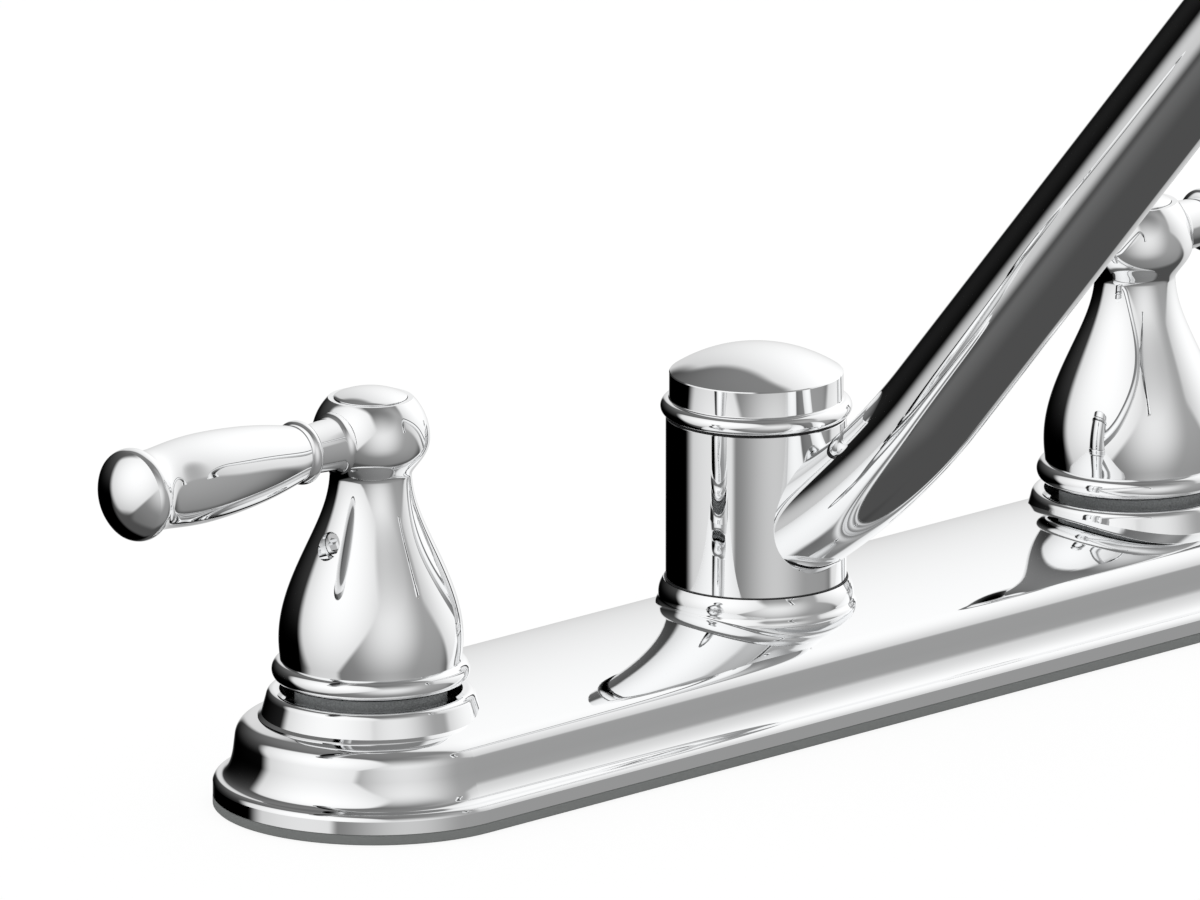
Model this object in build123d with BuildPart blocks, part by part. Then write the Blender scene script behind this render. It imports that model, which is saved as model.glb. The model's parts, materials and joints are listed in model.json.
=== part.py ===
from build123d import *
import os
from collections import namedtuple
from math import cos, radians, sin, sqrt

# Two-handle kitchen faucet on an 8 inch deck plate. Millimetres, +Z up, the user stands at -Y.
# The origin is the spout's axis on the sink deck. Hot is at -X and cold at +X.

# ---- what the whole faucet stands on -------------------------------------------------------
centres = 203.2  # hot valve to cold valve, the 8 inch pattern
deck_gap = 14.0  # sink deck between the gasket and the washers under it
fit = 0.05  # radial clearance of a shaft that turns in its bore
half_turn = 180.0  # degrees
full_turn = 360.0
seam = 0.3  # open joint between two pieces that turn past one another
slip = 0.1  # radial clearance of a screwed or pushed-in piece

# ---- gasket and deck plate -----------------------------------------------------------------
gasket_thickness = 2.0
plate_reach = 29.2  # from a handle's axis out to the end of the plate
plate_width = 60.4
plate_height = 15.0  # above the gasket, at the foot of the collars
plate_wall = 2.5
arch_radius = 82.4  # the top is arched across the plate's width
band_height = 2.45  # upright edge of the plate
cove_inset = 1.3  # from the band in to the foot of the cove
cove_share = 0.26  # heights of the section's creases, as shares of the plate's height
wall_foot_inset = 3.5
wall_foot_share = 0.56
wall_top_inset = 4.1
wall_top_share = 0.75
arch_inset = 5.7  # from the band in to the crease where the arch begins
collar_radius = 21.1  # foot of each raised collar
collar_height = 5.3
collar_lip_radius = 17.1  # recess that the handle stands over
recess_depth = 3.6
recess_floor = 2.2
spout_ring_height = 7.0
spout_ring_flare = 1.9  # from the spout hub's radius out to the ring's widest part
spout_ring_tuck = 0.6  # from its widest part in to its foot

# ---- valve bodies and what holds them down -------------------------------------------------
shank_radius = 10.48  # 1/2 inch straight pipe thread, outside
shank_length = 50.0
shank_bore_radius = 6.2
supply_thread_length = 15.4  # free end of the shank, below its run-out groove
runout_width = 1.6
runout_depth = 0.6
valve_flange_radius = 17.0
valve_flange_thickness = 4.0
valve_shoulder_radius = 15.0
barrel_radius = 11.4
barrel_height = 14.0  # above the floor of the collar's recess
cartridge_bore_radius = 9.5
gallery_radius = 11.2  # water gallery round the cartridge
seat_height = 3.0  # seat above the gasket
washer_radius = 22.0
washer_thickness = 3.0
lock_nut_radius = 15.5
lock_nut_height = 12.0
wing_reach = 23.0
wing_width = 5.0
wing_count = 4

# ---- crossover tubes and spout post --------------------------------------------------------
crossover_radius = 4.76  # 3/8 inch tube
crossover_bore_radius = 3.9
crossover_height = 6.6  # tube's axis above the gasket
socket_wall = 0.9
socket_depth = 5.8
post_block_radius = 13.0
post_flange_radius = 18.0
post_flange_thickness = 3.0
post_bore_radius = 6.5
post_waist_radius = 11.0
post_port_radius = 3.4
o_ring_section = 2.0
o_ring_squeeze = 0.25
nipple_radius = 9.0
nipple_length = 8.0

# ---- spout ---------------------------------------------------------------------------------
hub_radius = 17.0
hub_wall = 2.4
hub_height = 31.9
glide_thickness = 0.8
tube_radius = 9.525  # 3/4 inch tube
tube_wall = 1.07
tube_root_height = 16.15  # tube's axis above the hub's foot, at the hub's surface
tube_root_angle = 35.0
tube_rise_angle = 48.86
tube_root_bend_radius = 173.7
tube_rise_length = 116.7
crown_bend_radius = 48.0
nozzle_angle = -80.0
nozzle_length = 7.0
cap_radius = 16.35
cap_wall_height = 5.1
cap_dome_height = 4.85
bead_radius = 18.0
bead_height = 3.5
aerator_radius = 11.9
aerator_length = 14.8
aerator_grip = 7.0  # length screwed over the end of the tube
aerator_lip_radius = 8.2
aerator_lip_height = 1.1
aerator_washer_thickness = 1.6
mesh_pitch = 3.0
mesh_hole = 2.1

# ---- cartridge -----------------------------------------------------------------------------
housing_wall = 1.25
disc_thickness = 3.0
disc_port_inner = 2.2  # openings of the fixed disc
disc_port_outer = 5.5
disc_port_span = 80.0  # degrees
disc_web_radius = 2.6  # solid middle of the moving disc
seal_thickness = 3.0
stem_radius = 5.15
stem_neck_radius = 4.1
stem_foot_thickness = 3.6
spline_root_radius = 3.5
spline_tooth_height = 0.5
spline_tooth_width = 0.55
spline_count = 20
stop_tab_span = 40.0
stop_play = 2.0  # degrees left at each end of the turn
quarter_turn = 90.0
stop_height = 2.0
hub_nut_radius = 14.2
hub_nut_height = 8.0
bonnet_across_flats = 24.0
bonnet_web = 2.0

# ---- handles -------------------------------------------------------------------------------
handle_gap = 2.2  # collar's crest to the foot of the handle
skirt_radius = 18.45
skirt_height = 4.0
skirt_bore_radius = 15.1
bell_radius = 17.05
bell_height = 39.0
neck_radius = 7.75
ball_radius = 11.05
ball_height = 46.0  # ball's centre above the foot of the handle
ball_flat_height = 7.7  # flat top above the ball's centre
socket_height = 18.6
socket_depth_in_handle = 9.4
boss_radius = 6.6
screw_radius = 2.4
screw_head_radius = 4.3
screw_head_height = 3.2
screw_seat_drop = 4.5  # screw's seat below the ball's centre
pocket_radius = 5.0
button_radius = 6.85
button_rim = 1.4
button_dome = 1.4
button_sink = 1.0
lever_drop = 0.1  # lever's axis below the ball's centre
lever_rise_angle = 0.4
lever_seat = 10.0  # lever's root from the handle's axis
lever_root_radius = 5.0
lever_neck_radius = 4.15
lever_tenon_radius = 2.5
lever_bead_radius = 5.95
lever_bead_reach = 18.3
lever_grip_radius = 8.15
lever_waist_radius = 7.45
lever_end_radius = 8.7
lever_reach = 66.6

# ---- heights that follow from the sizes above ----------------------------------------------
plate_length = centres + 2 * plate_reach
plate_foot = gasket_thickness
plate_top = plate_foot + plate_height
ceiling = plate_top - plate_wall
collar_top = plate_top + collar_height
recess_level = collar_top - recess_depth
shoulder_level = recess_level - recess_floor
barrel_top = recess_level + barrel_height
seat_level = plate_foot + seat_height
crossover_level = plate_foot + crossover_height
spout_ring_radius = hub_radius + spout_ring_flare
spout_ring_top = plate_top + spout_ring_height
hub_foot = spout_ring_top - seam
hub_top = hub_foot + hub_height
hub_bore_radius = hub_radius - hub_wall
post_radius = hub_bore_radius - fit
end_radius = plate_width / 2
straight_length = plate_length - plate_width

housing_radius = cartridge_bore_radius - 3 * fit
disc_bore_radius = housing_radius - housing_wall
housing_foot = seat_level + 1.0
fixed_disc_level = seat_level + seal_thickness
moving_disc_level = fixed_disc_level + disc_thickness
stem_foot_level = moving_disc_level + disc_thickness
housing_step = stem_foot_level + stem_foot_thickness + 0.4
flange_top = barrel_top + 1.4
housing_neck_top = flange_top + 4.6
stop_level = housing_neck_top
clip_level = stop_level + stop_height - seam

handle_foot = collar_top + handle_gap
ball_level = handle_foot + ball_height
lever_level = ball_level - lever_drop
socket_level = handle_foot + socket_height
stem_top = socket_level + socket_depth_in_handle - 0.6

nut_top = -deck_gap - washer_thickness
supply_top = -shank_length + supply_thread_length

# ---- planes --------------------------------------------------------------------------------
# Each valve has a ground plane at deck level whose X points outwards along the closed lever,
# and a section plane with X outwards and Y up, on which turned outlines are drawn.
Side = namedtuple("Side", "name outward turn ground section axis")


def make_side(name, outward, turn):
    foot = Vector(outward * centres / 2, 0, 0)
    ground = Plane(origin=foot, x_dir=(outward, 0, 0), z_dir=(0, 0, 1))
    section = Plane(origin=foot, x_dir=(outward, 0, 0), z_dir=(0, -outward, 0))
    return Side(name, outward, turn, ground, section, Axis(foot, (0, 0, 1)))


hot = make_side("hot", -1, 1)
cold = make_side("cold", 1, -1)
spout_section = Plane(origin=(0, 0, 0), x_dir=(0, -1, 0), z_dir=(-1, 0, 0))

os.makedirs("parts", exist_ok=True)


def finish(piece, label):
    piece.label = label
    export_step(piece, f"parts/{label}.step")


def ring(ground, low, high, outer, inner=0.0, mode=Mode.ADD):
    """A round stretch on a ground plane, from one height to another, hollow where inner is given."""
    with BuildSketch(ground.offset(low)) as outline:
        Circle(outer)
        if inner > 0:
            Circle(inner, mode=Mode.SUBTRACT)
    extrude(outline.sketch, amount=high - low, mode=mode)


def sector(inner, outer, middle, span):
    """A sector of a ring, as a flat face round the local origin, its angles in degrees."""
    with BuildSketch() as wedge:
        with BuildLine():
            outside = CenterArc((0, 0), outer, middle - span / 2, span)
            inside = CenterArc((0, 0), inner, middle - span / 2, span)
            Line(outside @ 0, inside @ 0)
            Line(outside @ 1, inside @ 1)
        make_face()
    return wedge.sketch


def dome_middle(radius, rise):
    """How far a spherical dome of this radius and rise has risen half way out from its axis."""
    sphere = (radius**2 + rise**2) / (2 * rise)
    return rise - sphere + sqrt(sphere**2 - (radius / 2) ** 2)


def bulge_point(start, end, sag):
    """Middle of an arc between two points of a section, sag to the left of the chord."""
    along = Vector(*end) - Vector(*start)
    left = Vector(-along.Y, along.X).normalized()
    middle = Vector(*start) + along / 2 + left * sag
    return (middle.X, middle.Y)


def spline_face(extra):
    """The cross-section of the splined stem, grown all round by extra for the bores that take it."""
    with BuildSketch() as splined:
        Circle(spline_root_radius + extra)
        with PolarLocations(spline_root_radius + spline_tooth_height / 2 - 0.2, spline_count):
            Rectangle(spline_tooth_height + 0.4 + 2 * extra, spline_tooth_width + 2 * extra)
    return splined.sketch


# ---- gasket and deck plate -----------------------------------------------------------------
def arch_level(across):
    """Height of the arched top at a distance from the middle of the plate's width."""
    return plate_top + sqrt(arch_radius**2 - across**2) - sqrt(arch_radius**2 - collar_radius**2)


def plate_outline():
    """Half of the plate's section, from its middle out: band, cove, wall, round shoulder and arched top."""
    edge = end_radius
    band_top = (edge, plate_foot + band_height)
    cove_foot = (edge - cove_inset, plate_foot + cove_share * plate_height)
    wall_foot = (edge - wall_foot_inset, plate_foot + wall_foot_share * plate_height)
    wall_top = (edge - wall_top_inset, plate_foot + wall_top_share * plate_height)
    arch_foot = edge - arch_inset
    Line((0, arch_level(0)), (0, plate_foot))
    Line((0, plate_foot), (edge, plate_foot))
    Line((edge, plate_foot), band_top)
    ThreePointArc(band_top, bulge_point(band_top, cove_foot, -0.15), cove_foot)
    ThreePointArc(cove_foot, bulge_point(cove_foot, wall_foot, 0.6), wall_foot)
    Line(wall_foot, wall_top)
    ThreePointArc(wall_top, bulge_point(wall_top, (arch_foot, arch_level(arch_foot)), -0.25),
                  (arch_foot, arch_level(arch_foot)))
    ThreePointArc((arch_foot, arch_level(arch_foot)), (arch_foot / 2, arch_level(arch_foot / 2)),
                  (0, arch_level(0)))


def cavity_outline():
    """Half of the hollow under the plate, one wall inside its outline."""
    edge = end_radius - plate_wall
    lean = 0.6 * plate_wall
    Polyline(
        (0, ceiling),
        (0, plate_foot),
        (edge, plate_foot),
        (edge, plate_foot + band_height),
        (edge - wall_foot_inset, plate_foot + wall_foot_share * plate_height - lean),
        (edge - wall_top_inset, ceiling - lean),
        (edge - wall_top_inset - lean, ceiling),
        (0, ceiling),
    )


def long_form(outline, mode):
    """Carries a half section along the plate and round both of its ends."""
    with BuildSketch(Plane.YZ.offset(-straight_length / 2)) as run:
        with BuildLine() as half:
            outline()
        make_face(half.edges())
        mirror(about=Plane.YZ)
    extrude(run.sketch, amount=straight_length, mode=mode)
    for end in (-1, 1):
        centre = (end * straight_length / 2, 0, 0)
        with BuildSketch(Plane(origin=centre, x_dir=(0, -end, 0), z_dir=(-end, 0, 0))) as turn:
            with BuildLine() as half:
                outline()
            make_face(half.edges())
        revolve(turn.sketch, axis=Axis(centre, (0, 0, 1)), revolution_arc=half_turn, mode=mode)


def make_deck_gasket():
    with BuildPart() as deck_gasket:
        with BuildSketch():
            SlotOverall(plate_length, plate_width)
            with Locations((-centres / 2, 0), (centres / 2, 0)):
                Circle(shank_radius + 1.0, mode=Mode.SUBTRACT)
        extrude(amount=gasket_thickness)
    finish(deck_gasket.part, "deck_gasket")


def make_deck_plate():
    with BuildPart() as deck_plate:
        long_form(plate_outline, Mode.ADD)
        long_form(cavity_outline, Mode.SUBTRACT)
        # Raised collars under the handles, with a round crest and a recess inside.
        for side in (hot, cold):
            with BuildSketch(side.section):
                with BuildLine():
                    crest = (collar_lip_radius + 0.9, collar_top)
                    Line((0, ceiling), (collar_radius, ceiling))
                    Line((collar_radius, ceiling), (collar_radius, plate_top))
                    Line((collar_radius, plate_top), (collar_radius - 0.5, plate_top + 0.5))
                    Line((collar_radius - 0.5, plate_top + 0.5), (collar_radius - 1.3, collar_top - 1.0))
                    ThreePointArc(
                        (collar_radius - 1.3, collar_top - 1.0),
                        (collar_radius - 1.95, collar_top - 0.25),
                        crest,
                    )
                    Line(crest, (0, collar_top))
                    Line((0, collar_top), (0, ceiling))
                make_face()
            revolve(axis=side.axis)
            ring(side.ground, recess_level, collar_top, collar_lip_radius, mode=Mode.SUBTRACT)
            ring(side.ground, 0, shoulder_level, valve_shoulder_radius + slip, mode=Mode.SUBTRACT)
            ring(side.ground, 0, recess_level, barrel_radius + slip, mode=Mode.SUBTRACT)
        # Ogee ring under the spout, with a recess for the glide ring and the foot of the hub.
        with BuildSketch(spout_section):
            with BuildLine():
                foot = (spout_ring_radius - spout_ring_tuck, plate_top)
                belly = (spout_ring_radius, plate_top + 0.37 * spout_ring_height)
                brow = (spout_ring_radius - spout_ring_tuck, plate_top + 0.66 * spout_ring_height)
                lip = (hub_radius + 2 * seam, spout_ring_top)
                Line((0, ceiling), (foot[0], ceiling))
                Line((foot[0], ceiling), foot)
                ThreePointArc(foot, belly, brow)
                ThreePointArc(brow, bulge_point(brow, lip, -0.15), lip)
                Line(lip, (0, spout_ring_top))
                Line((0, spout_ring_top), (0, ceiling))
            make_face()
        revolve(axis=Axis.Z)
        recess = hub_foot - glide_thickness
        ring(Plane.XY, recess, spout_ring_top, hub_radius + seam, mode=Mode.SUBTRACT)
        ring(Plane.XY, 0, spout_ring_top, post_radius + 3 * slip, mode=Mode.SUBTRACT)
    finish(deck_plate.part, "deck_plate")


# ---- valve bodies --------------------------------------------------------------------------
def port_boss(plane, reach, start, mode=Mode.ADD, radius=0.0):
    """A round stretch along a plane's normal, for the sockets of the crossover tubes."""
    with BuildSketch(plane.offset(start)) as face:
        Circle(radius)
    extrude(face.sketch, amount=reach - start, mode=mode)


def crossover_plane(centre_x, direction):
    """A plane across a crossover tube's axis, its normal pointing along X in the given direction."""
    return Plane(origin=(centre_x, 0, crossover_level), x_dir=(0, 1, 0), z_dir=(direction, 0, 0))


def make_valve_body(side):
    port = crossover_plane(side.outward * centres / 2, -side.outward)
    port_reach = valve_flange_radius + 2.0
    with BuildPart() as valve_body:
        with BuildSketch(side.section):
            with BuildLine():
                Polyline(
                    (0, -shank_length),
                    (shank_radius - 0.8, -shank_length),
                    (shank_radius, -shank_length + 0.8),
                    (shank_radius, supply_top),
                    (shank_radius - runout_depth, supply_top),
                    (shank_radius - runout_depth, supply_top + runout_width),
                    (shank_radius, supply_top + runout_width),
                    (shank_radius, plate_foot),
                    (valve_flange_radius, plate_foot),
                    (valve_flange_radius, plate_foot + valve_flange_thickness),
                    (valve_shoulder_radius, plate_foot + valve_flange_thickness),
                    (valve_shoulder_radius, shoulder_level),
                    (barrel_radius, shoulder_level),
                    (barrel_radius, barrel_top),
                    (0, barrel_top),
                    (0, -shank_length),
                )
            make_face()
        revolve(axis=side.axis)
        port_boss(port, port_reach, 10.0, radius=crossover_radius + socket_wall)
        ring(side.ground, seat_level, barrel_top, cartridge_bore_radius, mode=Mode.SUBTRACT)
        ring(side.ground, seat_level + 1.5, shoulder_level - 0.8, gallery_radius, mode=Mode.SUBTRACT)
        ring(side.ground, -shank_length, seat_level, shank_bore_radius, mode=Mode.SUBTRACT)
        port_boss(port, port_reach, 5.0, Mode.SUBTRACT, crossover_bore_radius)
        port_boss(port, port_reach, port_reach - socket_depth, Mode.SUBTRACT, crossover_radius + fit)
    finish(valve_body.part, f"{side.name}_valve_body")


def make_crossover_tube(side):
    port = crossover_plane(0, side.outward)
    post_end = post_block_radius + 4.0 - socket_depth + 2 * fit
    valve_end = centres / 2 - valve_flange_radius - 2.0 + socket_depth - 2 * fit
    with BuildPart() as crossover_tube:
        with BuildSketch(port.offset(post_end)):
            Circle(crossover_radius)
            Circle(crossover_bore_radius, mode=Mode.SUBTRACT)
        extrude(amount=valve_end - post_end)
    finish(crossover_tube.part, f"{side.name}_crossover_tube")


def make_mount_washer(side):
    with BuildPart() as mount_washer:
        ring(side.ground, nut_top, -deck_gap, washer_radius, shank_radius + 4 * slip)
    finish(mount_washer.part, f"{side.name}_mount_washer")


def make_lock_nut(side):
    with BuildPart() as lock_nut:
        with BuildSketch(side.ground.offset(nut_top)):
            Circle(lock_nut_radius)
            with PolarLocations(wing_reach / 2, wing_count):
                Rectangle(wing_reach, wing_width)
            Circle(shank_radius + slip, mode=Mode.SUBTRACT)
        extrude(amount=-lock_nut_height)
    finish(lock_nut.part, f"{side.name}_lock_nut")


# ---- spout post ----------------------------------------------------------------------------
def make_spout_post():
    groove_floor = post_radius + o_ring_squeeze - o_ring_section
    lower_groove = hub_foot + 0.75
    upper_groove = hub_top - 4.6
    waist_low = lower_groove + o_ring_section + 1.0
    waist_high = upper_groove - 1.0
    taper = post_radius - post_waist_radius
    post_top = hub_top - slip
    with BuildPart() as spout_post:
        with BuildSketch(spout_section):
            with BuildLine():
                Polyline(
                    (0, plate_foot),
                    (post_block_radius, plate_foot),
                    (post_block_radius, ceiling - post_flange_thickness),
                    (post_flange_radius, ceiling - post_flange_thickness),
                    (post_flange_radius, ceiling),
                    (post_radius, ceiling),
                    (post_radius, lower_groove),
                    (groove_floor, lower_groove),
                    (groove_floor, lower_groove + o_ring_section),
                    (post_radius, lower_groove + o_ring_section),
                    (post_radius, waist_low),
                    (post_waist_radius, waist_low + 0.4 * taper),
                    (post_waist_radius, waist_high - 0.4 * taper),
                    (post_radius, waist_high),
                    (post_radius, upper_groove),
                    (groove_floor, upper_groove),
                    (groove_floor, upper_groove + o_ring_section),
                    (post_radius, upper_groove + o_ring_section),
                    (post_radius, post_top),
                    (nipple_radius, post_top),
                    (nipple_radius, post_top + nipple_length),
                    (0, post_top + nipple_length),
                    (0, plate_foot),
                )
            make_face()
        revolve(axis=Axis.Z)
        for direction in (-1, 1):
            port = crossover_plane(0, direction)
            port_boss(port, post_block_radius + 4.0, 5.0, radius=crossover_radius + socket_wall)
        ring(Plane.XY, seat_level, upper_groove - 1.0, post_bore_radius, mode=Mode.SUBTRACT)
        for direction in (-1, 1):
            port = crossover_plane(0, direction)
            reach = post_block_radius + 4.0
            port_boss(port, reach, 3.0, Mode.SUBTRACT, crossover_bore_radius)
            clear = max(reach, post_flange_radius) + 1.0
            port_boss(port, clear, reach - socket_depth, Mode.SUBTRACT, crossover_radius + fit)
        # Ports that let the water out into the hub, whichever way the spout points.
        port_level = (waist_low + waist_high) / 2
        with BuildSketch(Plane.XZ.offset(-hub_radius)) as across:
            with Locations((0, port_level)):
                Circle(post_port_radius)
        extrude(across.sketch, amount=2 * hub_radius, mode=Mode.SUBTRACT)
        with BuildSketch(Plane.YZ.offset(-hub_radius)) as along:
            with Locations((0, port_level)):
                Circle(post_port_radius)
        extrude(along.sketch, amount=2 * hub_radius, mode=Mode.SUBTRACT)
    finish(spout_post.part, "spout_post")
    return groove_floor, lower_groove, upper_groove


def make_spout_o_rings(groove_floor, lower_groove, upper_groove):
    """Two O-rings, each a little squeezed between its groove and the bore of the hub."""
    outer = hub_bore_radius - fit / 5
    inner = groove_floor + fit
    section_radius = (outer - inner) / 2
    with BuildPart() as spout_o_rings:
        for level in (lower_groove, upper_groove):
            with BuildSketch(spout_section):
                with Locations(((outer + inner) / 2, level + o_ring_section / 2)):
                    RegularPolygon(section_radius, 8, major_radius=False, rotation=22.5)
            revolve(axis=Axis.Z)
    finish(spout_o_rings.part, "spout_o_rings")


def make_glide_ring():
    with BuildPart() as glide_ring:
        ring(Plane.XY, hub_foot - glide_thickness, hub_foot, hub_radius, post_radius + 2 * slip)
    finish(glide_ring.part, "lower_glide_ring")


def make_upper_glide_ring():
    with BuildPart() as upper_glide_ring:
        ring(Plane.XY, hub_top, hub_top + glide_thickness, hub_radius - 0.7, nipple_radius + slip)
    finish(upper_glide_ring.part, "upper_glide_ring")


# ---- spout ---------------------------------------------------------------------------------
def spout_path():
    """The tube's centre line, from inside the hub to its mouth, drawn flat with X forward and Y up."""
    start = Vector(hub_radius, hub_foot + tube_root_height)
    heading = Vector(cos(radians(tube_root_angle)), sin(radians(tube_root_angle)))
    with BuildLine() as path:
        root = Line(start - heading * 7.0, start)
        bend = JernArc(root @ 1, root % 1, tube_root_bend_radius, tube_rise_angle - tube_root_angle)
        rise = Line(bend @ 1, bend @ 1 + bend % 1 * tube_rise_length)
        crown = JernArc(rise @ 1, rise % 1, crown_bend_radius, nozzle_angle - tube_rise_angle)
        Line(crown @ 1, crown @ 1 + crown % 1 * nozzle_length)
    return path.wire().moved(spout_section.location)


def tube_solid(path, outer, inner):
    with BuildPart() as swept:
        with BuildSketch(Plane(origin=path @ 0, z_dir=path % 0)):
            Circle(outer)
            if inner > 0:
                Circle(inner, mode=Mode.SUBTRACT)
        sweep(path=path)
    return swept.part


def make_spout(path):
    with BuildPart() as spout_hub:
        ring(Plane.XY, hub_foot, hub_top, hub_radius, hub_bore_radius)
        chamfer(spout_hub.edges().filter_by(GeomType.CIRCLE).group_by(SortBy.RADIUS)[-1], length=0.25)
        add(tube_solid(path, tube_radius + fit, 0), mode=Mode.SUBTRACT)
    finish(spout_hub.part, "spout_hub")
    with BuildPart() as spout_tube:
        add(tube_solid(path, tube_radius, tube_radius - tube_wall))
        ring(Plane.XY, hub_foot - 20, hub_top + 20, hub_bore_radius, mode=Mode.SUBTRACT)
    finish(spout_tube.part, "spout_tube")


def make_spout_cap():
    under = hub_top + glide_thickness
    wall_foot = hub_top + bead_height
    wall_top = wall_foot + cap_wall_height
    rim = cap_radius - 0.15
    with BuildPart() as spout_cap:
        with BuildSketch(spout_section):
            with BuildLine():
                lip = (hub_radius - 0.1, hub_top + seam)
                Line((nipple_radius + slip, under), (hub_radius - 0.55, under))
                Line((hub_radius - 0.55, under), (hub_radius - 0.55, hub_top + seam))
                Line((hub_radius - 0.55, hub_top + seam), lip)
                ThreePointArc(lip, (bead_radius, hub_top + 0.55 * bead_height), (cap_radius + 0.35, wall_foot))
                ThreePointArc((cap_radius + 0.35, wall_foot), (cap_radius + 0.1, wall_foot + 0.1),
                              (cap_radius, wall_foot + 0.35))
                Line((cap_radius, wall_foot + 0.35), (cap_radius, wall_top - 0.2))
                Line((cap_radius, wall_top - 0.2), (rim, wall_top))
                ThreePointArc((rim, wall_top), (rim / 2, wall_top + dome_middle(rim, cap_dome_height)),
                              (0, wall_top + cap_dome_height))
                Line((0, wall_top + cap_dome_height), (0, wall_top))
                Line((0, wall_top), (nipple_radius + slip, wall_top))
                Line((nipple_radius + slip, wall_top), (nipple_radius + slip, under))
            make_face()
        revolve(axis=Axis.Z)
    finish(spout_cap.part, "spout_cap")


def make_aerator(path):
    """Aerator screwed over the end of the tube: housing, washer and mesh insert."""
    mouth = Plane(origin=path @ 1, x_dir=(1, 0, 0), z_dir=path % 1)
    insert_top = aerator_washer_thickness
    insert_low = aerator_length - aerator_grip - aerator_lip_height
    bore = tube_radius + slip
    with BuildPart() as aerator_housing:
        ring(mouth, -aerator_grip, aerator_length - aerator_grip, aerator_radius, aerator_lip_radius)
        ring(mouth, -aerator_grip, insert_low, bore, mode=Mode.SUBTRACT)
        outer_rims = aerator_housing.edges().filter_by(GeomType.CIRCLE).group_by(SortBy.RADIUS)[-1]
        fillet(outer_rims, radius=0.8)
    finish(aerator_housing.part, "aerator_housing")
    with BuildPart() as aerator_washer:
        ring(mouth, 0, insert_top, bore - slip, tube_radius - 2 * tube_wall)
    finish(aerator_washer.part, "aerator_washer")
    with BuildPart() as aerator_insert:
        with BuildSketch(mouth.offset(insert_top)):
            Circle(bore - slip)
            holes = [
                (mesh_pitch * column, mesh_pitch * row)
                for column in range(-2, 3)
                for row in range(-2, 3)
                if abs(column) + abs(row) < 4
            ]
            with Locations(*holes):
                Rectangle(mesh_hole, mesh_hole, mode=Mode.SUBTRACT)
        extrude(amount=insert_low - insert_top)
    finish(aerator_insert.part, "aerator_insert")


# ---- cartridges ----------------------------------------------------------------------------
def make_cartridge_housing(side):
    free_sector = quarter_turn + stop_tab_span + 2 * stop_play
    with BuildPart() as cartridge_housing:
        with BuildSketch(side.section):
            with BuildLine():
                Polyline(
                    (disc_bore_radius, housing_foot),
                    (housing_radius, housing_foot),
                    (housing_radius, housing_step + 3.0),
                    (housing_radius - 1.7, housing_step + 3.0),
                    (housing_radius - 1.7, housing_step + 5.0),
                    (housing_radius, housing_step + 5.0),
                    (housing_radius, barrel_top),
                    (barrel_radius - 0.6, barrel_top),
                    (barrel_radius - 0.6, flange_top),
                    (stem_neck_radius + 2.4, flange_top),
                    (stem_neck_radius + 2.4, housing_neck_top),
                    (stem_neck_radius + fit, housing_neck_top),
                    (stem_neck_radius + fit, flange_top - 0.4),
                    (stem_radius + fit, flange_top - 0.4),
                    (stem_radius + fit, housing_step),
                    (disc_bore_radius, housing_step),
                    (disc_bore_radius, housing_foot),
                )
            make_face()
        revolve(axis=side.axis)
        # Two windows that let the mixed-down water out into the gallery.
        window_height = stem_foot_level + 2.2 - moving_disc_level - 0.6
        with BuildSketch(side.section.offset(-housing_radius - 1)):
            with Locations((0, moving_disc_level + 0.6 + window_height / 2)):
                Rectangle(6.0, window_height)
        extrude(amount=2 * housing_radius + 2, mode=Mode.SUBTRACT)
        # Slots for the ears of the fixed disc.
        with BuildSketch(side.ground.offset(housing_foot)):
            Rectangle(2 * housing_radius + 2, 3.0 + 2 * slip)
            Circle(disc_bore_radius - 0.5, mode=Mode.SUBTRACT)
        extrude(amount=moving_disc_level - housing_foot, mode=Mode.SUBTRACT)
        # Raised stop, open over the quarter turn of the tab.
        with BuildSketch(side.ground.offset(stop_level)):
            add(sector(spline_root_radius + 1.9, stem_neck_radius + 2.4, side.turn * quarter_turn / 2 + half_turn,
                       full_turn - free_sector))
        extrude(amount=stop_height)
    finish(cartridge_housing.part, f"{side.name}_cartridge_housing")


def make_seat_seal(side):
    with BuildPart() as seat_seal:
        ring(side.ground, seat_level, fixed_disc_level, disc_bore_radius - slip, shank_bore_radius - 0.5)
    finish(seat_seal.part, f"{side.name}_seat_seal")


def make_discs(side):
    """Two ceramic discs. Closed, the moving disc's cut-outs stand a quarter turn from the fixed ones."""
    with BuildPart() as fixed_disc:
        with BuildSketch(side.ground.offset(fixed_disc_level)):
            Circle(disc_bore_radius - slip)
            Rectangle(2 * housing_radius - 0.3, 3.0)
            for middle in (quarter_turn, 3 * quarter_turn):
                add(sector(disc_port_inner, disc_port_outer, middle, disc_port_span), mode=Mode.SUBTRACT)
        extrude(amount=disc_thickness)
    finish(fixed_disc.part, f"{side.name}_fixed_disc")
    with BuildPart() as moving_disc:
        with BuildSketch(side.ground.offset(moving_disc_level)):
            Circle(disc_bore_radius - seam)
            for middle in (0, half_turn):
                add(sector(disc_web_radius, disc_bore_radius, middle, disc_port_span), mode=Mode.SUBTRACT)
        extrude(amount=disc_thickness)
        with BuildSketch(side.ground.offset(stem_foot_level)):
            Rectangle(3.0, 11.2)
        extrude(amount=-1.2, mode=Mode.SUBTRACT)
    finish(moving_disc.part, f"{side.name}_moving_disc")


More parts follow.
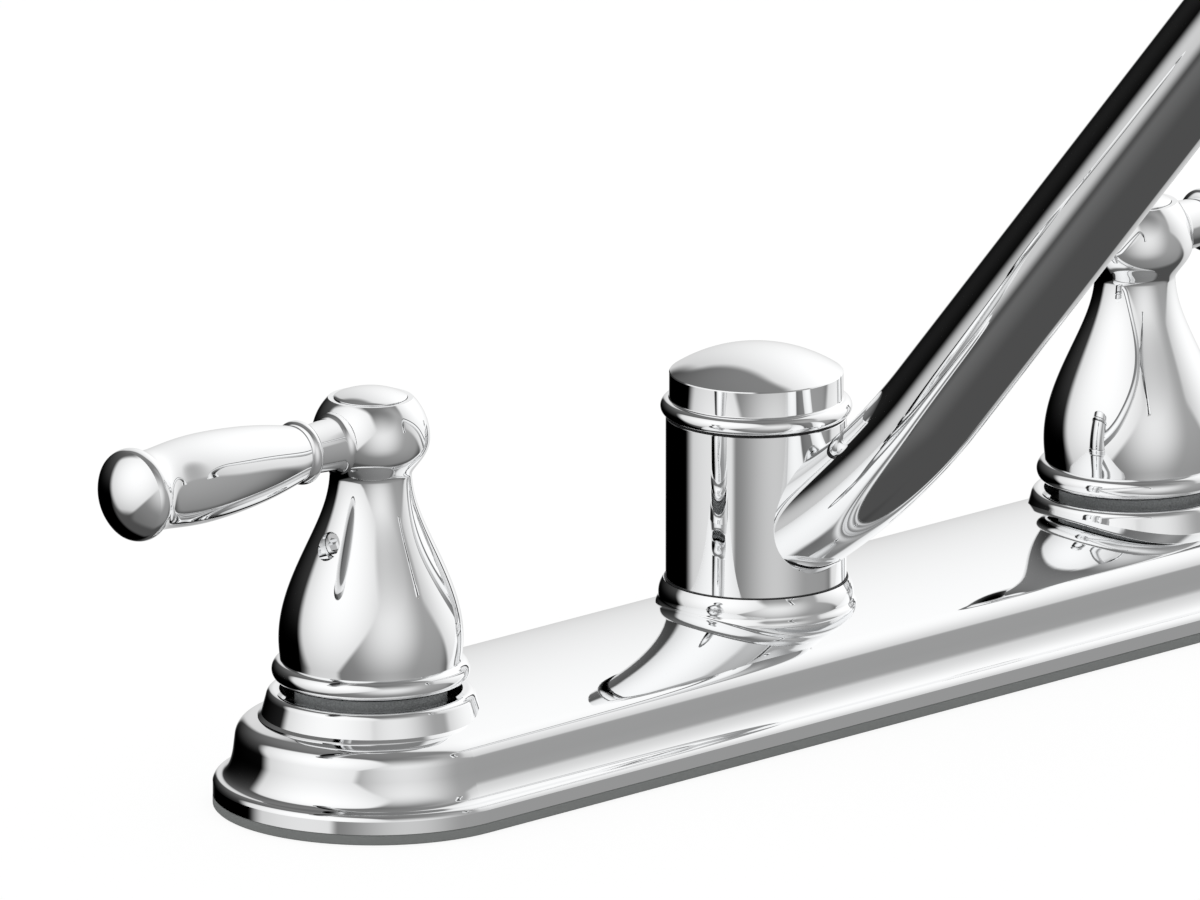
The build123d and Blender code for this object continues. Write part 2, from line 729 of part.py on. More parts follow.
def make_stem(side):
    groove_low = housing_step + 8.0
    with BuildPart() as stem:
        with BuildSketch(side.section):
            with BuildLine():
                Polyline(
                    (0, stem_foot_level),
                    (disc_bore_radius - seam, stem_foot_level),
                    (disc_bore_radius - seam, stem_foot_level + stem_foot_thickness),
                    (stem_radius, stem_foot_level + stem_foot_thickness),
                    (stem_radius, groove_low),
                    (stem_radius - 1.3, groove_low),
                    (stem_radius - 1.3, groove_low + 1.6),
                    (stem_radius, groove_low + 1.6),
                    (stem_radius, flange_top - 0.6),
                    (stem_neck_radius, flange_top - 0.6),
                    (stem_neck_radius, housing_neck_top),
                    (0, housing_neck_top),
                    (0, stem_foot_level),
                )
            make_face()
        revolve(axis=side.axis)
        # Tongue that turns the moving disc.
        with BuildSketch(side.ground.offset(stem_foot_level)):
            Rectangle(2.8, 11.0)
        extrude(amount=-1.0)
        with BuildSketch(side.ground.offset(housing_neck_top)):
            add(spline_face(0))
        extrude(amount=stem_top - housing_neck_top)
        # Groove of the snap ring, and the thread that takes the handle's screw.
        ring(side.ground, clip_level, clip_level + 0.9, stem_neck_radius + 1, spline_root_radius - 0.3,
             mode=Mode.SUBTRACT)
        ring(side.ground, socket_level - 3.0, stem_top, screw_radius + slip, mode=Mode.SUBTRACT)
    finish(stem.part, f"{side.name}_stem")
    with BuildPart() as stem_o_ring:
        with BuildSketch(side.section):
            with Locations((stem_radius - 0.63, groove_low + 0.8)):
                RegularPolygon(0.65, 8, major_radius=False, rotation=22.5)
        revolve(axis=side.axis)
    finish(stem_o_ring.part, f"{side.name}_stem_o_ring")


def make_housing_o_ring(side):
    with BuildPart() as housing_o_ring:
        with BuildSketch(side.section):
            with Locations((housing_radius - 0.8, housing_step + 4.0)):
                RegularPolygon(0.9, 8, major_radius=False, rotation=22.5)
        revolve(axis=side.axis)
    finish(housing_o_ring.part, f"{side.name}_housing_o_ring")


def make_stop_washer(side):
    with BuildPart() as stop_washer:
        with BuildSketch(side.ground.offset(stop_level)):
            Circle(spline_root_radius + 1.4)
            add(sector(spline_root_radius + 1.0, stem_neck_radius + 2.3, 0, stop_tab_span))
            add(spline_face(fit), mode=Mode.SUBTRACT)
        extrude(amount=stop_height - seam)
    finish(stop_washer.part, f"{side.name}_stop_washer")


def make_snap_ring(side):
    with BuildPart() as snap_ring:
        with BuildSketch(side.ground.offset(clip_level)):
            Circle(spline_root_radius + 1.4)
            Circle(spline_root_radius - 0.3 + fit, mode=Mode.SUBTRACT)
            add(sector(1.0, 8.0, half_turn, 50), mode=Mode.SUBTRACT)
        extrude(amount=0.9)
    finish(snap_ring.part, f"{side.name}_snap_ring")


def make_hub_nut(side):
    with BuildPart() as hub_nut:
        ring(side.ground, recess_level, recess_level + hub_nut_height, hub_nut_radius, barrel_radius + slip)
        chamfer(hub_nut.edges().filter_by(GeomType.CIRCLE).group_by(SortBy.RADIUS)[-1], length=0.3)
    finish(hub_nut.part, f"{side.name}_hub_nut")


def make_bonnet_nut(side):
    low = recess_level + hub_nut_height + 0.4
    high = flange_top + bonnet_web
    corner = bonnet_across_flats / 2 / cos(radians(30))
    with BuildPart() as bonnet_nut:
        with BuildSketch(side.ground.offset(low)):
            RegularPolygon(corner, 6)
        extrude(amount=high - low)
        # The corners are turned down at both ends.
        with BuildSketch(side.section):
            with BuildLine():
                Polyline((0, low), (corner - 1.6, low), (corner, low + 0.9), (corner, high - 0.9),
                         (corner - 1.6, high), (0, high), (0, low))
            make_face()
        revolve(axis=side.axis, mode=Mode.INTERSECT)
        ring(side.ground, low, flange_top, barrel_radius + slip, mode=Mode.SUBTRACT)
        ring(side.ground, low, high, stem_neck_radius + 2.4 + 3 * slip, mode=Mode.SUBTRACT)
    finish(bonnet_nut.part, f"{side.name}_bonnet_nut")


# ---- handles -------------------------------------------------------------------------------
def lever_section(side):
    """Section plane of a lever: X out along its axis, Y up."""
    rise = radians(lever_rise_angle)
    root = (side.outward * centres / 2, 0, lever_level)
    return Plane(origin=root, x_dir=(side.outward * cos(rise), 0, sin(rise)), z_dir=(0, -side.outward, 0))


def make_handle_body(side):
    foot = handle_foot
    neck_level = ball_level - sqrt(ball_radius**2 - neck_radius**2)
    flat_level = ball_level + ball_flat_height
    flat_radius = sqrt(ball_radius**2 - ball_flat_height**2)
    with BuildPart() as handle_body:
        with BuildSketch(side.section):
            with BuildLine():
                skirt_top = (bell_radius - 0.1, foot + skirt_height)
                Line((0, foot), (bell_radius - 0.4, foot))
                ThreePointArc((bell_radius - 0.4, foot), (skirt_radius, foot + 0.45 * skirt_height), skirt_top)
                bell_foot = (bell_radius - 0.05, foot + skirt_height + 0.6)
                Line(skirt_top, bell_foot)
                Spline(
                    bell_foot,
                    (0.978 * bell_radius, foot + 0.33 * bell_height),
                    (0.842 * bell_radius, foot + 0.51 * bell_height),
                    (0.67 * bell_radius, foot + 0.68 * bell_height),
                    (0.54 * bell_radius, foot + 0.81 * bell_height),
                    (neck_radius, neck_level),
                    tangents=[(0.12, 1.0), (-0.12, 1.0)],
                )
                ball_side = (ball_radius, ball_level)
                ThreePointArc((neck_radius, neck_level), ball_side, (flat_radius, flat_level))
                Line((flat_radius, flat_level), (0, flat_level))
                Line((0, flat_level), (0, foot))
            make_face()
        revolve(axis=side.axis)
        # Hollow under the bell, with the splined boss left standing in it.
        with BuildSketch(side.section):
            with BuildLine():
                shoulder = (skirt_bore_radius, foot + 0.22 * bell_height)
                Line((0, foot), (skirt_bore_radius, foot))
                Line((skirt_bore_radius, foot), shoulder)
                Spline(
                    shoulder,
                    (0.86 * skirt_bore_radius, foot + 0.45 * bell_height),
                    (0.66 * skirt_bore_radius, foot + 0.6 * bell_height),
                    (0.5 * skirt_bore_radius, foot + 0.68 * bell_height),
                    tangents=[(0, 1), (-1, 0.9)],
                )
                top = (boss_radius, foot + 0.68 * bell_height)
                Line((0.5 * skirt_bore_radius, foot + 0.68 * bell_height), top)
                Line(top, (boss_radius, socket_level))
                Line((boss_radius, socket_level), (0, socket_level))
                Line((0, socket_level), (0, foot))
            make_face()
        revolve(axis=side.axis, mode=Mode.SUBTRACT)
        with BuildSketch(side.ground.offset(socket_level)):
            add(spline_face(fit))
        extrude(amount=socket_depth_in_handle, mode=Mode.SUBTRACT)
        screw_seat = ball_level - screw_seat_drop
        ring(side.ground, socket_level, screw_seat, screw_radius + 3 * slip, mode=Mode.SUBTRACT)
        ring(side.ground, screw_seat, flat_level, pocket_radius, mode=Mode.SUBTRACT)
        ring(side.ground, flat_level - button_sink, flat_level, button_radius + slip, mode=Mode.SUBTRACT)
        # Flat seat and socket of the lever.
        lever_plane = lever_section(side)
        across = Plane(origin=lever_plane.origin, x_dir=(0, 1, 0), z_dir=lever_plane.x_dir)
        ring(across, lever_seat, ball_radius + 2, lever_root_radius + 2 * slip, mode=Mode.SUBTRACT)
        ring(across, pocket_radius + 1, lever_seat, lever_tenon_radius + fit, mode=Mode.SUBTRACT)
    finish(handle_body.part, f"{side.name}_handle_body")


def make_lever(side):
    lever_plane = lever_section(side)
    grip_start = lever_bead_reach + 1.7
    reach = lever_reach
    flange = reach - 5.4
    with BuildPart() as lever:
        with BuildSketch(lever_plane):
            with BuildLine():
                neck_start = (lever_seat + 2.2, lever_neck_radius)
                neck_end = (lever_bead_reach - 1.6, lever_neck_radius - 0.1)
                bead_end = (grip_start, lever_bead_radius - 0.6)
                Line((pocket_radius + 1.2, 0), (pocket_radius + 1.2, lever_tenon_radius))
                Line((pocket_radius + 1.2, lever_tenon_radius), (lever_seat, lever_tenon_radius))
                Line((lever_seat, lever_tenon_radius), (lever_seat, lever_root_radius))
                Line((lever_seat, lever_root_radius), (lever_seat + 0.7, lever_root_radius))
                ThreePointArc((lever_seat + 0.7, lever_root_radius), (lever_seat + 1.0, lever_root_radius - 0.6),
                              neck_start)
                Line(neck_start, neck_end)
                ThreePointArc(neck_end, (lever_bead_reach, lever_bead_radius), bead_end)
                Spline(
                    bead_end,
                    (lever_bead_reach + 8.0, 0.81 * lever_grip_radius),
                    (lever_bead_reach + 17.0, 0.958 * lever_grip_radius),
                    (lever_bead_reach + 26.0, lever_grip_radius),
                    (lever_bead_reach + 34.0, 0.955 * lever_grip_radius),
                    (flange - 3.2, lever_waist_radius),
                    (flange, lever_end_radius - 0.1),
                    tangents=[(1, 0.25), (1, 1.0)],
                )
                ThreePointArc((flange, lever_end_radius - 0.1), (flange + 0.5, lever_end_radius),
                              (flange + 1.0, lever_end_radius - 0.35))
                edge = lever_end_radius - 0.35
                rise = reach - flange - 1.0
                ThreePointArc((flange + 1.0, edge), (flange + 1.0 + dome_middle(edge, rise), edge / 2),
                              (reach, 0))
                Line((reach, 0), (pocket_radius + 1.2, 0))
            make_face()
        revolve(axis=Axis(lever_plane.origin, lever_plane.x_dir))
    finish(lever.part, f"{side.name}_lever")


def make_handle_screw(side):
    seat = ball_level - screw_seat_drop
    with BuildPart() as handle_screw:
        ring(side.ground, socket_level - 1.5, seat + 0.5, screw_radius)
        ring(side.ground, seat, seat + screw_head_height, screw_head_radius)
        fillet(handle_screw.edges().filter_by(GeomType.CIRCLE).sort_by(Axis.Z)[-1], radius=1.0)
        with BuildSketch(side.ground.offset(seat + screw_head_height)):
            RegularPolygon(2.3, 6)
        extrude(amount=-2.0, mode=Mode.SUBTRACT)
    finish(handle_screw.part, f"{side.name}_handle_screw")


def make_index_button(side):
    flat_level = ball_level + ball_flat_height
    low = flat_level - button_sink
    rim = low + button_rim
    crown = rim + button_dome
    with BuildPart() as index_button:
        with BuildSketch(side.section):
            with BuildLine():
                Line((0, crown), (0, low - 4.0))
                Line((0, low - 4.0), (pocket_radius - slip, low - 4.0))
                Line((pocket_radius - slip, low - 4.0), (pocket_radius - slip, low))
                Line((pocket_radius - slip, low), (button_radius, low))
                Line((button_radius, low), (button_radius, rim - 0.2))
                Line((button_radius, rim - 0.2), (button_radius - 0.3, rim))
                edge = button_radius - 0.3
                ThreePointArc((edge, rim), (edge / 2, rim + dome_middle(edge, button_dome)), (0, crown))
            make_face()
        revolve(axis=side.axis)
    finish(index_button.part, f"{side.name}_index_button")


# ---- build ---------------------------------------------------------------------------------
make_deck_gasket()
make_deck_plate()
make_spout_o_rings(*make_spout_post())
make_glide_ring()
make_upper_glide_ring()
centre_line = spout_path()
make_spout(centre_line)
make_spout_cap()
make_aerator(centre_line)

for side in (hot, cold):
    make_valve_body(side)
    make_crossover_tube(side)
    make_mount_washer(side)
    make_lock_nut(side)
    make_cartridge_housing(side)
    make_housing_o_ring(side)
    make_seat_seal(side)
    make_discs(side)
    make_stem(side)
    make_stop_washer(side)
    make_snap_ring(side)
    make_hub_nut(side)
    make_bonnet_nut(side)
    make_handle_body(side)
    make_lever(side)
    make_handle_screw(side)
    make_index_button(side)
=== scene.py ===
import cmath
import json
from math import cos, pi, radians, sin, sqrt

import bmesh
import bpy
from mathutils import Matrix, Vector


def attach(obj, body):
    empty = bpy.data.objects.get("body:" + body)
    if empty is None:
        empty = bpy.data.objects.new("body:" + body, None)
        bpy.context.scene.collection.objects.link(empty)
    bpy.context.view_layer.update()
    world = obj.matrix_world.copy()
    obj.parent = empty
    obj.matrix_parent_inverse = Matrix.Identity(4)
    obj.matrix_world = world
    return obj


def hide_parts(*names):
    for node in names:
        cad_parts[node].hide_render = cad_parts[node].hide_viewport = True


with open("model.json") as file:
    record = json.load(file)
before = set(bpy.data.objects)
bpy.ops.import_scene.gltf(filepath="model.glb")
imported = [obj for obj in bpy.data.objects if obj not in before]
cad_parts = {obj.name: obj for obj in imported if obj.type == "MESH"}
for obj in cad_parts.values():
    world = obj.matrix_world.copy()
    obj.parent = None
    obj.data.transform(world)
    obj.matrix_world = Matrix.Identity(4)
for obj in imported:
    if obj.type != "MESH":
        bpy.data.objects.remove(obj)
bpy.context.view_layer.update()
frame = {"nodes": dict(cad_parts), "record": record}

# Everything is drawn in millimetres and goes into the mesh in metres.
mm = 0.001
up = Vector((0, 0, 1))
weld = 1e-4  # points closer than this become one
creaseAngle = radians(14)

faucet = {
    "handleAxis": 101.6,  # from the spout's axis to each handle's
    "gasketTop": 2.0,
    "plateTop": 17.24,  # plate at the foot of the collars
    "collarTop": 22.3,
    "recessFloor": 18.7,
    "recessRadius": 17.1,
    "handleFoot": 24.5,
    "ballLevel": 70.5,
    "hubFoot": 23.7,
    "hubTop": 55.6,
    "hubRadius": 17.0,
}
handles = {"hot": -1, "cold": 1}


# Profiles are points (radius, height) of a half section.
def arc(start, through, end, steps):
    # an arc of the circle through three points
    a, b, c = complex(*start), complex(*through), complex(*end)
    w = (c - a) / (b - a)
    centre = (b - a) * (w - abs(w) ** 2) / (2j * w.imag) + a
    turn = cmath.phase((b - centre) / (a - centre)) + cmath.phase((c - centre) / (b - centre))
    points = [centre + (a - centre) * cmath.exp(1j * turn * k / steps) for k in range(steps + 1)]
    return [(p.real, p.imag) for p in points]


def curve(controls, steps):
    # one smooth curve over a row of control points
    points = []
    for k in range(steps + 1):
        row = [Vector(c) for c in controls]
        while len(row) > 1:
            row = [p.lerp(q, k / steps) for p, q in zip(row, row[1:])]
        points.append(tuple(row[0]))
    return points


def dome(rim, foot, height, steps):
    # part of a sphere, from its rim up to the axis
    sphere = (rim**2 + height**2) / (2 * height)
    middle = foot + height - sphere + sqrt(sphere**2 - (rim / 2) ** 2)
    return arc((rim, foot), (rim / 2, middle), (0, foot + height), steps)


def raised(points, level):
    return [(r, z + level) for r, z in points]


def closed(points):
    return points + points[:1]


def axisPlace(foot, direction=up):
    # turns a profile's axis to a direction and stands it on a point
    turn = up.rotation_difference(Vector(direction)).to_matrix().to_4x4()
    return Matrix.Scale(mm, 4) @ Matrix.Translation(foot) @ turn


def drawProfile(bm, points):
    row = [bm.verts.new((r, 0, z)) for r, z in points]
    edges = [bm.edges.new(pair) for pair in zip(row, row[1:])]
    return row + edges


def turnProfile(bm, points, steps):
    bmesh.ops.spin(bm, geom=drawProfile(bm, points), axis=up, cent=(0, 0, 0), angle=2 * pi,
                   steps=steps, use_merge=True)
    bmesh.ops.remove_doubles(bm, verts=bm.verts, dist=weld)
    bmesh.ops.recalc_face_normals(bm, faces=bm.faces)


def split(geom):
    # sorts what an operator made into vertices and edges
    verts = [part for part in geom if isinstance(part, bmesh.types.BMVert)]
    edges = [part for part in geom if isinstance(part, bmesh.types.BMEdge)]
    return verts, edges


def markCreases(bm):
    # shades smooth, apart from edges that turn by more than the crease angle
    for edge in bm.edges:
        edge.smooth = len(edge.link_faces) == 2 and edge.calc_face_angle(0) < creaseAngle
    for face in bm.faces:
        face.smooth = True


def meshPiece(name, bm, place, body, slot, finish=None):
    bm.transform(place)
    markCreases(bm)
    mesh = bpy.data.meshes.new(name)
    bm.to_mesh(mesh)
    bm.free()
    piece = bpy.data.objects.new(name, mesh)
    bpy.context.collection.objects.link(piece)
    mesh.materials.append(finish or finishes[slot])
    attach(piece, body)
    return piece


def turnedPiece(name, points, place, body, slot, steps=128):
    bm = bmesh.new()
    turnProfile(bm, points, steps)
    return meshPiece(name, bm, place, body, slot)


def looseMesh(name, bm):
    mesh = bpy.data.meshes.new(name)
    bm.to_mesh(mesh)
    bm.free()
    helper = bpy.data.objects.new(name, mesh)
    bpy.context.collection.objects.link(helper)
    return helper


def turnedTool(name, points, across=0.0, steps=128):
    bm = bmesh.new()
    turnProfile(bm, points, steps)
    bm.transform(Matrix.Translation((across, 0, 0)))
    return looseMesh(name, bm)


def carve(body, tools):
    # joins each tool to the body or cuts it out, and returns the mesh that comes out
    for tool, operation in tools:
        step = body.modifiers.new(tool.name, "BOOLEAN")
        step.object = tool
        step.operation = operation
        step.solver = "EXACT"
    bpy.context.view_layer.update()
    evaluated = body.evaluated_get(bpy.context.evaluated_depsgraph_get())
    result = bpy.data.meshes.new_from_object(evaluated)
    for helper in [body] + [tool for tool, _ in tools]:
        bpy.data.objects.remove(helper)
    bm = bmesh.new()
    bm.from_mesh(result)
    bpy.data.meshes.remove(result)
    bmesh.ops.remove_doubles(bm, verts=bm.verts, dist=weld)
    return bm


def wire(tree, node, inputs):
    # links each named or numbered input, or sets it to a constant
    for label, value in inputs.items():
        if hasattr(value, "is_output"):
            tree.links.new(value, node.inputs[label])
        else:
            node.inputs[label].default_value = value


def newNode(tree, kind, inputs=None, **settings):
    node = tree.nodes.new(kind)
    for label, value in settings.items():
        setattr(node, label, value)
    wire(tree, node, inputs or {})
    return node


def mathNode(tree, operation, *values, clamp=False):
    return newNode(tree, "ShaderNodeMath", dict(enumerate(values)), operation=operation,
                   use_clamp=clamp).outputs[0]


def vectorNode(tree, operation, *values):
    return newNode(tree, "ShaderNodeVectorMath", dict(enumerate(values)), operation=operation)


def noiseNode(tree, place, scale, detail=2):
    inputs = {"Vector": place, "Scale": scale, "Detail": detail}
    return newNode(tree, "ShaderNodeTexNoise", inputs).outputs["Fac"]


def mixNode(tree, kind, factor, first, second):
    inputs = {"Factor": factor, "A": first, "B": second}
    return newNode(tree, "ShaderNodeMix", inputs, data_type=kind).outputs["Result"]


def objectPlace(tree):
    return newNode(tree, "ShaderNodeTexCoord").outputs["Object"]


def startGroup(name, inputs, outputs):
    # returns a new shader group with its sockets, and its input values
    group = bpy.data.node_groups.new(name, "ShaderNodeTree")
    for label, kind, value in inputs:
        socket = group.interface.new_socket(label, in_out="INPUT", socket_type=kind)
        if value is not None:
            socket.default_value = value
    for label, kind in outputs:
        group.interface.new_socket(label, in_out="OUTPUT", socket_type=kind)
    return group, newNode(group, "NodeGroupInput").outputs


polish = {"smudgeDetail": 3, "wipeScale": 240, "wipeStretch": 14.0}


def buildHandledSurface():
    # faint wipe marks and smudges of a polished surface: a roughness and a low height
    group, given = startGroup(
        "handledSurface",
        [("Roughness", "NodeSocketFloat", 0.03), ("Smudge", "NodeSocketFloat", 0.02),
         ("Scale", "NodeSocketFloat", 60.0)],
        [("Roughness", "NodeSocketFloat"), ("Height", "NodeSocketFloat")])
    place = objectPlace(group)
    smudge = noiseNode(group, place, given["Scale"], polish["smudgeDetail"])
    stretched = newNode(group, "ShaderNodeMapping",
                        {"Vector": place, "Scale": (1.0, 1.0, polish["wipeStretch"])})
    wipe = noiseNode(group, stretched.outputs["Vector"], polish["wipeScale"])
    spread = mathNode(group, "MULTIPLY", mathNode(group, "SUBTRACT", smudge, 0.5), given["Smudge"])
    rough = mathNode(group, "ADD", given["Roughness"], spread)
    newNode(group, "NodeGroupOutput",
            {"Roughness": mathNode(group, "MAXIMUM", rough, 0.0), "Height": wipe})
    return group


grain = {"wideScale": 90, "fineShare": 0.7, "roughSpread": 0.2}


def buildGrain():
    # fine even grain of a moulded or matt part: tint, roughness and height
    group, given = startGroup(
        "mouldedGrain",
        [("Color", "NodeSocketColor", (0.5, 0.5, 0.5, 1)), ("Scale", "NodeSocketFloat", 2500.0),
         ("Tint", "NodeSocketFloat", 0.1), ("Roughness", "NodeSocketFloat", 0.5)],
        [("Color", "NodeSocketColor"), ("Roughness", "NodeSocketFloat"),
         ("Height", "NodeSocketFloat")])
    place = objectPlace(group)
    fine = noiseNode(group, place, given["Scale"])
    wide = noiseNode(group, place, grain["wideScale"])
    shade = mathNode(group, "ADD", mathNode(group, "MULTIPLY", fine, grain["fineShare"]),
                     mathNode(group, "MULTIPLY", wide, 1 - grain["fineShare"]))
    tone = mathNode(group, "MULTIPLY", mathNode(group, "SUBTRACT", shade, 0.5), given["Tint"])
    tint = newNode(group, "ShaderNodeVectorMath",
                   {"Vector": given["Color"], "Scale": mathNode(group, "ADD", tone, 1.0)},
                   operation="SCALE")
    vary = mathNode(group, "MULTIPLY", mathNode(group, "SUBTRACT", wide, 0.5),
                    grain["roughSpread"])
    newNode(group, "NodeGroupOutput",
            {"Color": tint.outputs["Vector"], "Height": fine,
             "Roughness": mathNode(group, "ADD", given["Roughness"], vary)})
    return group


turning = {"stainScale": 70, "stainDetail": 4, "stainStart": 0.42, "stainGain": 2.2,
           "stainRoughness": 0.15}


def buildMachined():
    # rings left by a turning tool, with a slightly uneven tarnish: tint, roughness and height
    group, given = startGroup(
        "machinedRings",
        [("Color", "NodeSocketColor", (0.7, 0.5, 0.3, 1)),
         ("Tarnish", "NodeSocketColor", (0.4, 0.3, 0.2, 1)),
         ("Stretch", "NodeSocketVector", (1.0, 1.0, 1.0)), ("Pitch", "NodeSocketFloat", 2600.0),
         ("Roughness", "NodeSocketFloat", 0.3)],
        [("Color", "NodeSocketColor"), ("Roughness", "NodeSocketFloat"),
         ("Height", "NodeSocketFloat")])
    place = objectPlace(group)
    stretched = vectorNode(group, "MULTIPLY", place, given["Stretch"])
    rings = noiseNode(group, stretched.outputs["Vector"], given["Pitch"])
    stain = noiseNode(group, place, turning["stainScale"], turning["stainDetail"])
    mask = mathNode(group, "MULTIPLY", mathNode(group, "SUBTRACT", stain, turning["stainStart"]),
                    turning["stainGain"], clamp=True)
    dulled = mathNode(group, "MULTIPLY", mask, turning["stainRoughness"])
    newNode(group, "NodeGroupOutput",
            {"Color": mixNode(group, "RGBA", mask, given["Color"], given["Tarnish"]),
             "Roughness": mathNode(group, "ADD", given["Roughness"], dulled), "Height": rings})
    return group


handledSurface = buildHandledSurface()
mouldedGrain = buildGrain()
machinedRings = buildMachined()


def newFinish(name, metallic, group, values, depth, extra=None):
    # one shader behind a surface group, whose height becomes a bump of this depth
    finish = bpy.data.materials.new(name)
    finish.use_nodes = True
    tree = finish.node_tree
    surface = newNode(tree, "ShaderNodeGroup", values, node_tree=group).outputs
    bump = newNode(tree, "ShaderNodeBump", {"Distance": depth * mm, "Height": surface["Height"]})
    inputs = {"Metallic": metallic, "Roughness": surface["Roughness"],
              "Normal": bump.outputs["Normal"]}
    if "Color" in surface:
        inputs["Base Color"] = surface["Color"]
    wire(tree, tree.nodes["Principled BSDF"], {**inputs, **(extra or {})})
    return finish


# colour and surface of the plating, and of the painted shade on the recess walls: a near-black
# colour with added roughness
chrome = {"colour": (0.93, 0.935, 0.94, 1), "surface": {"Roughness": 0.012, "Smudge": 0.02},
          "depth": 0.00002}
paintedRecessShade = {"margin": 0.05, "drop": 0.35, "colour": (0.03, 0.03, 0.03, 1), "roughness": 0.5}


def buildPlateFinish():
    # painted shade: the walls of the two deep recesses at the foot of the handles get a near-black,
    # rougher colour below a thin chrome rim
    finish = newFinish("platedDeckWithPaintedShade", 1.0, handledSurface, chrome["surface"], chrome["depth"])
    tree = finish.node_tree
    shader = tree.nodes["Principled BSDF"]
    place = newNode(tree, "ShaderNodeSeparateXYZ", {0: objectPlace(tree)})
    across, depth, height = place.outputs
    off = mathNode(tree, "SUBTRACT", mathNode(tree, "ABSOLUTE", across),
                   faucet["handleAxis"] * mm)
    reach = mathNode(tree, "SQRT", mathNode(tree, "ADD", mathNode(tree, "MULTIPLY", off, off),
                                            mathNode(tree, "MULTIPLY", depth, depth)))
    inside = mathNode(tree, "LESS_THAN", reach,
                      (faucet["recessRadius"] + paintedRecessShade["margin"]) * mm)
    below = mathNode(tree, "LESS_THAN", height, (faucet["collarTop"] - paintedRecessShade["drop"]) * mm)
    # painted shade mask: inside the recess radius and below the collar's rim
    shadedRecess = mathNode(tree, "MULTIPLY", inside, below)
    polished = shader.inputs["Roughness"].links[0].from_socket
    dulled = mathNode(tree, "MULTIPLY", shadedRecess, paintedRecessShade["roughness"])
    wire(tree, shader,
         {"Base Color": mixNode(tree, "RGBA", shadedRecess, chrome["colour"], paintedRecessShade["colour"]),
          "Roughness": mathNode(tree, "ADD", polished, dulled)})
    return finish


plateChrome = buildPlateFinish()
finishes = {
    "polished_chrome": newFinish(
        "polishedChrome", 1.0, handledSurface, chrome["surface"], chrome["depth"],
        {"Base Color": chrome["colour"]}),
    "grey_gasket": newFinish(
        "greyGasket", 0.0, mouldedGrain,
        {"Color": (0.198, 0.206, 0.203, 1), "Scale": 1800, "Tint": 0.12, "Roughness": 0.75},
        0.02, {"Specular IOR Level": 0.15}),
    "dark_nut": newFinish(
        "darkNut", 0.0, mouldedGrain,
        {"Color": (0.37, 0.385, 0.39, 1), "Scale": 3200, "Tint": 1.6, "Roughness": 0.7},
        0.03, {"Specular IOR Level": 0.3}),
    "brass": newFinish(
        "castBrass", 1.0, machinedRings,
        {"Color": (0.72, 0.53, 0.27, 1), "Tarnish": (0.50, 0.34, 0.17, 1),
         "Stretch": (0.05, 0.05, 1.0), "Roughness": 0.27}, 0.01),
    "cartridge_brass": newFinish(
        "cartridgeBrass", 1.0, machinedRings,
        {"Color": (0.76, 0.60, 0.34, 1), "Tarnish": (0.62, 0.46, 0.26, 1),
         "Stretch": (0.03, 0.03, 1.0), "Pitch": 4200, "Roughness": 0.2}, 0.006),
    "copper": newFinish(
        "drawnCopper", 1.0, machinedRings,
        {"Color": (0.72, 0.40, 0.26, 1), "Tarnish": (0.38, 0.20, 0.13, 1),
         "Stretch": (0.03, 1.0, 1.0), "Pitch": 3000, "Roughness": 0.32}, 0.006),
    # near black, so that the glide rings' edges also serve as painted shade lines in the gaps
    # beside the hub
    "black_plastic": newFinish(
        "blackPlastic", 0.0, mouldedGrain,
        {"Color": (0.012, 0.012, 0.013, 1), "Scale": 1500, "Tint": 0.3, "Roughness": 0.42},
        0.02, {"Specular IOR Level": 0.25}),
    "white_plastic": newFinish(
        "whiteAcetal", 0.0, mouldedGrain,
        {"Color": (0.78, 0.78, 0.75, 1), "Scale": 1200, "Tint": 0.05, "Roughness": 0.35}, 0.01),
    "seal_rubber": newFinish(
        "sealRubber", 0.0, mouldedGrain,
        {"Color": (0.02, 0.02, 0.02, 1), "Scale": 2200, "Tint": 0.3, "Roughness": 0.6},
        0.01, {"Specular IOR Level": 0.3}),
    "ceramic": newFinish(
        "lappedCeramic", 0.0, mouldedGrain,
        {"Color": (0.86, 0.85, 0.81, 1), "Scale": 3000, "Tint": 0.04, "Roughness": 0.12}, 0.002),
    "stainless": newFinish(
        "stainlessSteel", 1.0, machinedRings,
        {"Color": (0.62, 0.62, 0.62, 1), "Tarnish": (0.52, 0.52, 0.53, 1),
         "Stretch": (0.05, 0.05, 1.0), "Pitch": 3500, "Roughness": 0.25}, 0.004),
}
for row in frame["record"]["subparts"]:
    node = frame["nodes"][row["node"]]
    for material in node.material_slots:
        material.material = finishes[row["material_slot"]]
print("finishes placed on", len(frame["nodes"]), "nodes")

plate = {
    "halfStraight": 100.6,
    "edge": 30.2,
    "wall": 2.5,
    "archRadius": 67.1,
    "archFoot": 23.4,
    "shoulder": [(24.6, 15.95), (25.85, 15.1)],
    "wallTop": (26.1, 13.2),
    "cove": [(26.35, 11.1), (26.48, 9.9), (26.95, 6.4), (28.2, 6.0), (28.9, 5.7)],
    "bandShoulder": (29.75, 5.25),
    "bandTop": (30.2, 4.45),
    "lining": [(24.2, 8.9), (23.6, 13.0), (22.1, 14.5)],  # inside of the wall, up to the ceiling
    "ceiling": 14.5,
    "bossFoot": 15.0,  # where collars and ring start, inside the plate's top
    "steps": 96,
}
collar = {
    "radius": 21.1,
    "side": (20.45, 17.75),
    "crest": [(19.55, 21.1), (19.0, 22.0)],
    "mouth": 17.9,
    "shoulderBore": 15.1,
    "shoulderLevel": 16.5,
    "barrelBore": 11.5,
    "cutPast": 1.0,
}
